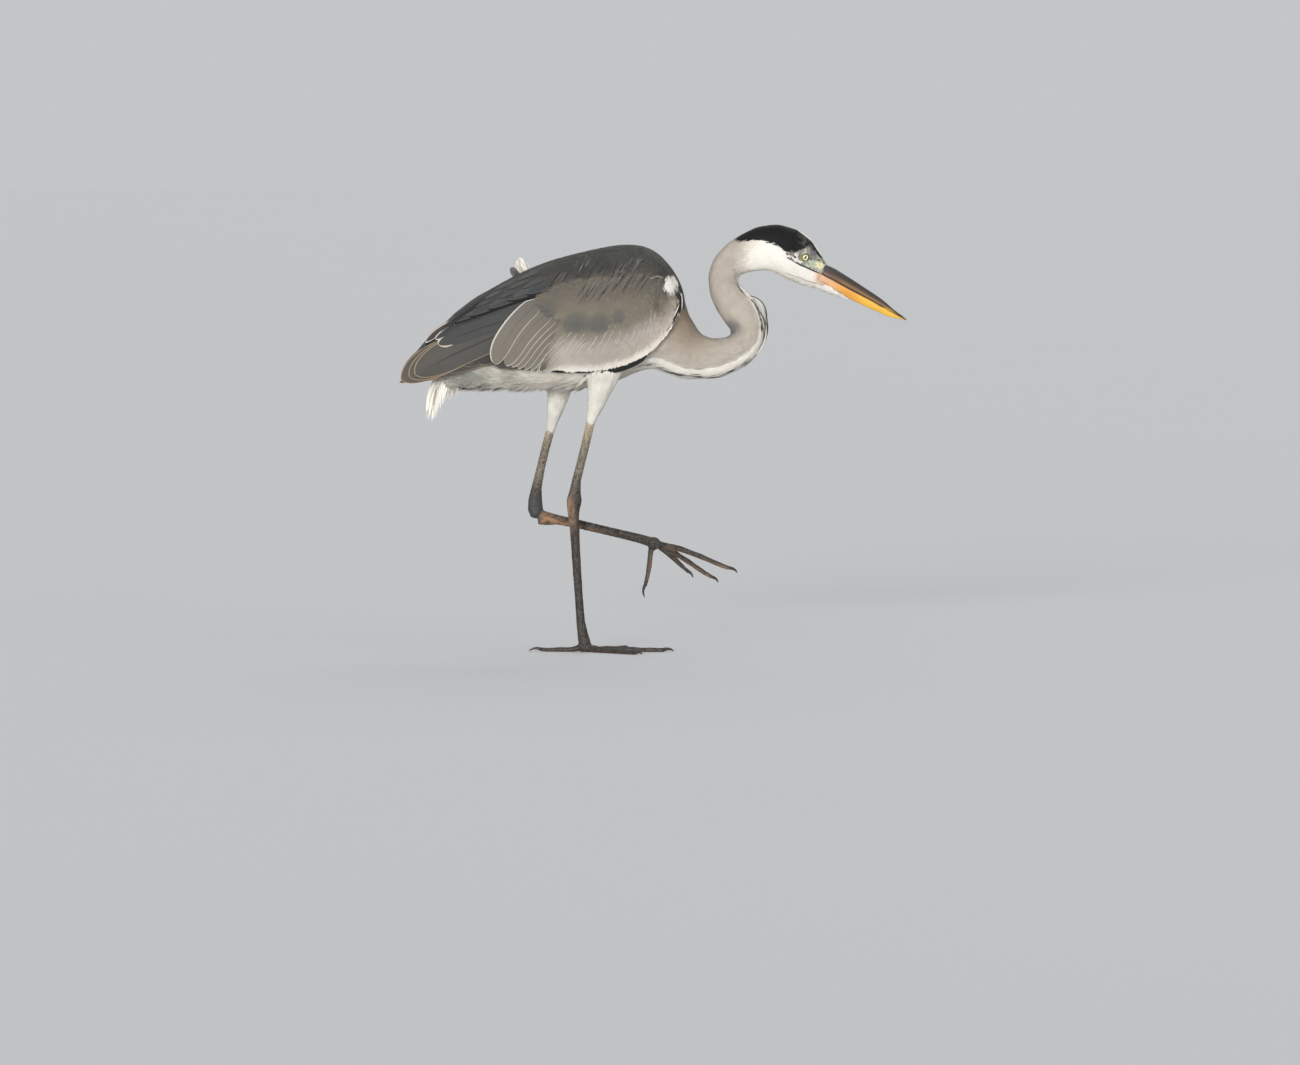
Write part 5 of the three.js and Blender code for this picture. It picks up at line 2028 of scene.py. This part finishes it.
class HERON_OT_coverts(bpy.types.Operator):
    """Coverts of both folded wings, from the long ones at the back to small ones at the bend"""

    bl_idname = "heron.coverts"
    bl_label = "Wing coverts"

    def scattered(self, wing, blade, gap, share, size, wide, under, over, seed, **more):
        """Small coverts whose tips lie between two shares of the way up the wing, front of the fan."""
        tips = even_places((-80, 140), (398, 545), gap, SEED + seed)
        x, z = tips.T
        up = wing_share(x, z)
        tips = tips[(up > share[0]) & (up < share[1]) & (x > level(FAN_FRONT, z))]
        grown = np.interp(tips[:, 0], [-60, 40, 100, 140], [1.1, 1.0, 0.75, 0.5])
        roots = behind(tips, size * grown)
        kept = roots[:, 0] < level(BEND_FRONT, roots[:, 1])
        tips, roots, grown = tips[kept], roots[kept], grown[kept]
        t = smooth(-60, 130, tips[:, 0])
        return wing.feathers(blade, roots, tips, 0.05 - 0.03 * t, wide * grown, under, over, SEED + seed,
                             tilt=0.01, camber=0.03, **more)

    def execute(self, context):
        c = coats()
        pale, cream, fan_edge_shadow = paint(0.82, 0.80, 0.76), paint(0.755, 0.73, 0.675), paint(0.40, 0.375, 0.34)
        black, white, greyish = plain(c.black * 1.3), plain(c.white), plain(c.white * 0.55)

        def fan_tone(seen):
            x, _, z = (seen / MM).T
            tint = mix(paint(0.42, 0.395, 0.36), paint(0.49, 0.46, 0.42), smooth(440, 405, z))
            return mix(tint, paint(0.41, 0.40, 0.385), smooth(-84, -100, x) * smooth(452, 480, z))

        for side, name in ((-1, "wing_right"), (1, "wing_left")):
            wing = wing_side(side)
            layers = wing.listed("long", FLANK_BLACK, FLANK_BOW, 70, under=1.0, hue=black, **STILL)
            # the lowest row: its tips make the wing's smooth lower edge
            edge = curve(LOW_ROW, 74)
            t = np.linspace(0, 1, len(edge))
            layers += wing.feathers("covert", behind(edge, 62 - 34 * t), edge, 0.05 - 0.03 * t,
                                    5.5 - 2.5 * t, 2.4, 0.0, SEED + 71, loose=0.02, shade=0.02, tilt=0.01,
                                    rims=[(c.white * 0.85, 0.3, 0.6)])
            layers += self.scattered(wing, "lock", 4.0, (0.03, 0.42), 34, 3.0, 1.8, 0.5, 72, loose=0.04,
                                     shade=0.03)
            layers += self.scattered(wing, "plume", 11, (0.04, 0.36), 46, 0.42, 0.5, 0.9, 79, loose=0.1,
                                     hue=plain(paint(0.79, 0.76, 0.715)))
            layers += self.scattered(wing, "lock", 3.2, (0.36, 1.12), 20, 2.2, 1.2, 0.85, 73, loose=0.04,
                                     shade=0.035)
            for rows, bow, seed, deep, hue, rims in (
                # the darker rim beyond each cream edge is painted shadow under that edge
                (FAN, 0.07, 74, 3.2, fan_tone, [(cream, 1.0, 0.6), (fan_edge_shadow, 2.0, 0.9)]),
                # the pale band along the big covert's upper edge is a painted highlight
                (BIG_COVERT, 0.08, 75, 3.6, fan_tone, [(cream, 1.0, 0.5), (pale, -2.2, 0.4)]),
                (WEDGE, 0.0, 76, 2.2, plain(paint(0.36, 0.35, 0.34)), [(pale, -1.0, 0.6)]),
            ):
                layers += wing.listed("long", rows, bow, seed, deep, hue=hue, rims=rims, shade=0.03, **FLAT)
            for rows, blade, seed, under, hue in (
                (BEND_BLACK, "plume", 77, 0.0, black), (BEND_WHITE, "plume", 78, 0.0, white),
                (PATCH, "lock", 82, 1.8, white), (PATCH_ARC, "plume", 83, 0.0, greyish),
            ):
                layers += wing.listed(blade, rows, -0.03, seed, under=under, hue=hue, **STILL)
            feather_piece(f"{name}_coverts", layers, vane_finish())
        return {"FINISHED"}


# Strands of the tufts: blade, number, first root and its tip [x, y, z], how far roots and tips spread,
# bend, half width and tone.
VENT_STRANDS = [
    ("plume", 90, (-203, 2, 393), (-221, 3, 335), (6, 4, 6), (0.8, 1.0, 1.6), (-9, 0, 0), 3.4, "white"),
    ("lock", 60, (-200, 2, 392), (-212, 3, 350), (9, 4, 5), (1.4, 1.2, 2.0), (-6, 0, 0), 3.0, "white"),
    ("lock", 46, (-186, 2, 388), (-190, 3, 362), (8, 6, 4), (2.2, 2, 2), (0, 0, 0), 2.2, "shaded"),
]
BACK_STRANDS = [
    ("soft", 26, (-82, 23, 536), (-94, 25, 563), (4, 1.5, 2.5), (1.5, 1, 1), (-3, 0, 3), 4.6, "cream"),
    ("soft", 18, (-90, 21, 531), (-105, 23, 550), (3, 1.5, 2.5), (1.5, 1, 1), (-4, 0, 3), 4.2, "grey"),
]


class HERON_OT_tufts(bpy.types.Operator):
    """The white tuft that hangs under the tail, and the loose feathers that stand up over the back"""

    bl_idname = "heron.tufts"
    bl_label = "Tufts"

    def execute(self, context):
        c = coats()
        rng = np.random.default_rng(SEED + 81)
        t = np.linspace(0, 1, POINTS)[:, None]
        outward = unit(np.array((0.3, -1, 0.1)))
        tones = {"white": c.white, "shaded": c.white * 0.8, "cream": c.white * 0.82, "grey": c.plume * 1.35}

        def strands(blade, count, root, tip, root_spread, tip_spread, bend, width, tone):
            root, tip, tip_spread, bend = (np.array(q) for q in (root, tip, tip_spread, bend))
            line = []
            for _ in range(count):
                a = root + rng.uniform(-1, 1, 3) * root_spread
                b = a + (tip - root) * rng.uniform(0.55, 1.0) + rng.normal(0, 1, 3) * tip_spread
                line.append(a * (1 - t) + b * t + bend * t * (1 - t) * rng.uniform(0.6, 1.4))
            line = np.array(line) * MM
            ups = unit(np.tile(outward, (count, POINTS, 1)) + rng.normal(0, 0.5, (count, 1, 3)))
            return grow(blade, line, ups, width * MM, 0, 0, rng, np.tile(tones[tone], (count, 1)),
                        body_chart(line[:, 0]), shade=0.12)

        for name, rows, replaced in (
            ("vent_feathers", VENT_STRANDS, "vent_tuft"), ("loose_back_feathers", BACK_STRANDS, "back_tuft"),
        ):
            layers = [strands(*row) for row in rows]
            feather_piece(name, layers, down_finish(), (replaced,))
        return {"FINISHED"}


class HERON_OT_leg_scales(bpy.types.Operator):
    """Small overlapping scales round the legs, and broad plates over the tarsi and toes"""

    bl_idname = "heron.leg_scales"
    bl_label = "Leg scales"

    def execute(self, context):
        form = coat_form()
        fine = lay(form, "scale", faces_of(form, *LEG_NODES), 2.0 * MM, 2.9 * MM, 1.15 * MM,
                   0.12 * MM, 0.10 * MM, SEED + 91, sway=0.05, chart=limb_chart, shade=0.16, camber=0.12)
        roots, ups = [], []
        for name in LEG_NODES:
            if name.startswith(("shin", "foot")):
                continue
            middle, way = limb_axis(name)
            own = read_mesh(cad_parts[name].data)[0]
            run = (own - middle) @ way
            top = np.array((1.0, 0, 0)) if name == "tarsus_right" else np.array((0, 0, 1.0))
            if name == "toe_hind_left":
                top = np.array((-1.0, 0, 0))
            top = unit(top - way * (top @ way))
            pitch = 3.4 if name.startswith("tarsus") else 2.7
            for step in np.arange(run.min() + 2 * MM, run.max() - 1.5 * MM, pitch * MM):
                ring = own[np.argsort(np.abs(run - step))[:8]].mean(0)
                start = middle + way * step
                start = start + (ring - middle) - way * ((ring - middle) @ way)
                hit, _, face, _ = form.tree.ray_cast(start + top * 0.02, -top, 0.02)
                if hit is not None:
                    roots.append(hit)
                    ups.append(form.corner_normals[face])
        roots, ups = np.array(roots), np.array(ups)
        parts = nodes_at(roots)
        rng = np.random.default_rng(SEED + 92)
        tarsus = among(parts, "tarsus_right", "tarsus_left")
        size = np.where(tarsus, 4.6, 3.7) * MM
        line, ups = trace(form, roots, ups, parts, size, np.zeros((len(roots), 1)))
        plates = grow("scute", line, ups, np.where(tarsus, 3.6, 3.0) * MM, 0.10 * MM, 0.30 * MM, rng,
                      markings(line[:, 2], parts), limb_chart(roots, parts), shade=0.14, settle=form.settle,
                      camber=0.0, tilt=0.0)
        for layer in (fine, plates):
            layer["places"][:, 2] = np.maximum(layer["places"][:, 2], 0.0)
        feather_piece("leg_scales", [fine, plates], scale_finish())
        return {"FINISHED"}


# Lights: name, turn about the upright axis, height and softness in degrees, and strength.
LIGHTS = [("key", -18, 11, 20, 2.4), ("fill", 52, 18, 50, 0.45), ("rim", 165, 38, 40, 0.5)]
FLOOR_RADIUS = 60.0
LOOKED_AT = (94, 0, 171)  # middle of the picture, in millimetres
SENSOR = 36.0  # width of the camera's sensor in millimetres


class HERON_OT_stage(bpy.types.Operator):
    """Pale floor, soft lights and the camera"""

    bl_idname = "heron.stage"
    bl_label = "Stage"

    def execute(self, context):
        scene = context.scene
        settings = scene.heron_stage
        bm = bmesh.new()
        bmesh.ops.create_circle(bm, cap_ends=True, segments=96, radius=FLOOR_RADIUS)
        floor = added("studio_floor", mesh_of(bm, "studio_floor"))
        floor.data.materials.append(floor_finish())
        for name, turn, height, softness, power in LIGHTS:
            light = bpy.data.lights.new(name, "SUN")
            light.angle, light.energy = math.radians(softness), power
            added(name, light).rotation_euler = (math.radians(90 - height), 0, math.radians(turn))
        world = bpy.data.worlds.new("studio")
        scene.world = world
        world.use_nodes = True
        backdrop = world.node_tree.nodes["Background"].inputs
        backdrop["Color"].default_value = (0.985, 1.0, 1.015, 1)
        backdrop["Strength"].default_value = 0.56
        scene.view_settings.view_transform = "Standard"
        lens = bpy.data.cameras.new("camera")
        camera = added("camera", lens)
        scene.camera = camera
        aim = Vector(LOOKED_AT) * MM
        rise, far = settings.camera_rise, settings.camera_distance
        camera.location = aim + Vector((0, -math.cos(rise), math.sin(rise))) * far
        camera.rotation_mode = "QUATERNION"
        camera.rotation_quaternion = (aim - camera.location).to_track_quat("-Z", "Y")
        lens.sensor_width = SENSOR
        lens.lens = SENSOR * far / settings.view_width
        lens.clip_start, lens.clip_end = 0.5, 400.0
        return {"FINISHED"}


class HERON_PT_panel(bpy.types.Panel):
    """Lists the pieces and their settings"""

    bl_label = "Heron"
    bl_idname = "HERON_PT_panel"
    bl_space_type = "VIEW_3D"
    bl_region_type = "UI"
    bl_category = "Heron"

    def draw(self, context):
        for name, group in GROUPS.items():
            box = self.layout.box()
            box.label(text=group.__name__)
            for key in group.__annotations__:
                box.prop(getattr(context.scene, name), key)
        for operator in OPERATORS:
            self.layout.operator(operator.bl_idname)


OPERATORS = (
    HERON_OT_stage, HERON_OT_skin, HERON_OT_eyes, HERON_OT_bill, HERON_OT_claws, HERON_OT_head_feathers,
    HERON_OT_neck_feathers, HERON_OT_underparts, HERON_OT_flight_feathers, HERON_OT_coverts, HERON_OT_back,
    HERON_OT_tufts, HERON_OT_leg_scales,
)


def register():
    for kind in (*GROUPS.values(), *OPERATORS, HERON_PT_panel):
        bpy.utils.register_class(kind)
    for name, group in GROUPS.items():
        setattr(bpy.types.Scene, name, PointerProperty(type=group))


def unregister():
    for name in GROUPS:
        delattr(bpy.types.Scene, name)
    for kind in reversed((*GROUPS.values(), *OPERATORS, HERON_PT_panel)):
        bpy.utils.unregister_class(kind)


def main():
    register()
    for operator in OPERATORS:
        getattr(bpy.ops.heron, operator.bl_idname.split(".")[1])()


if __name__ == "__main__":
    main()
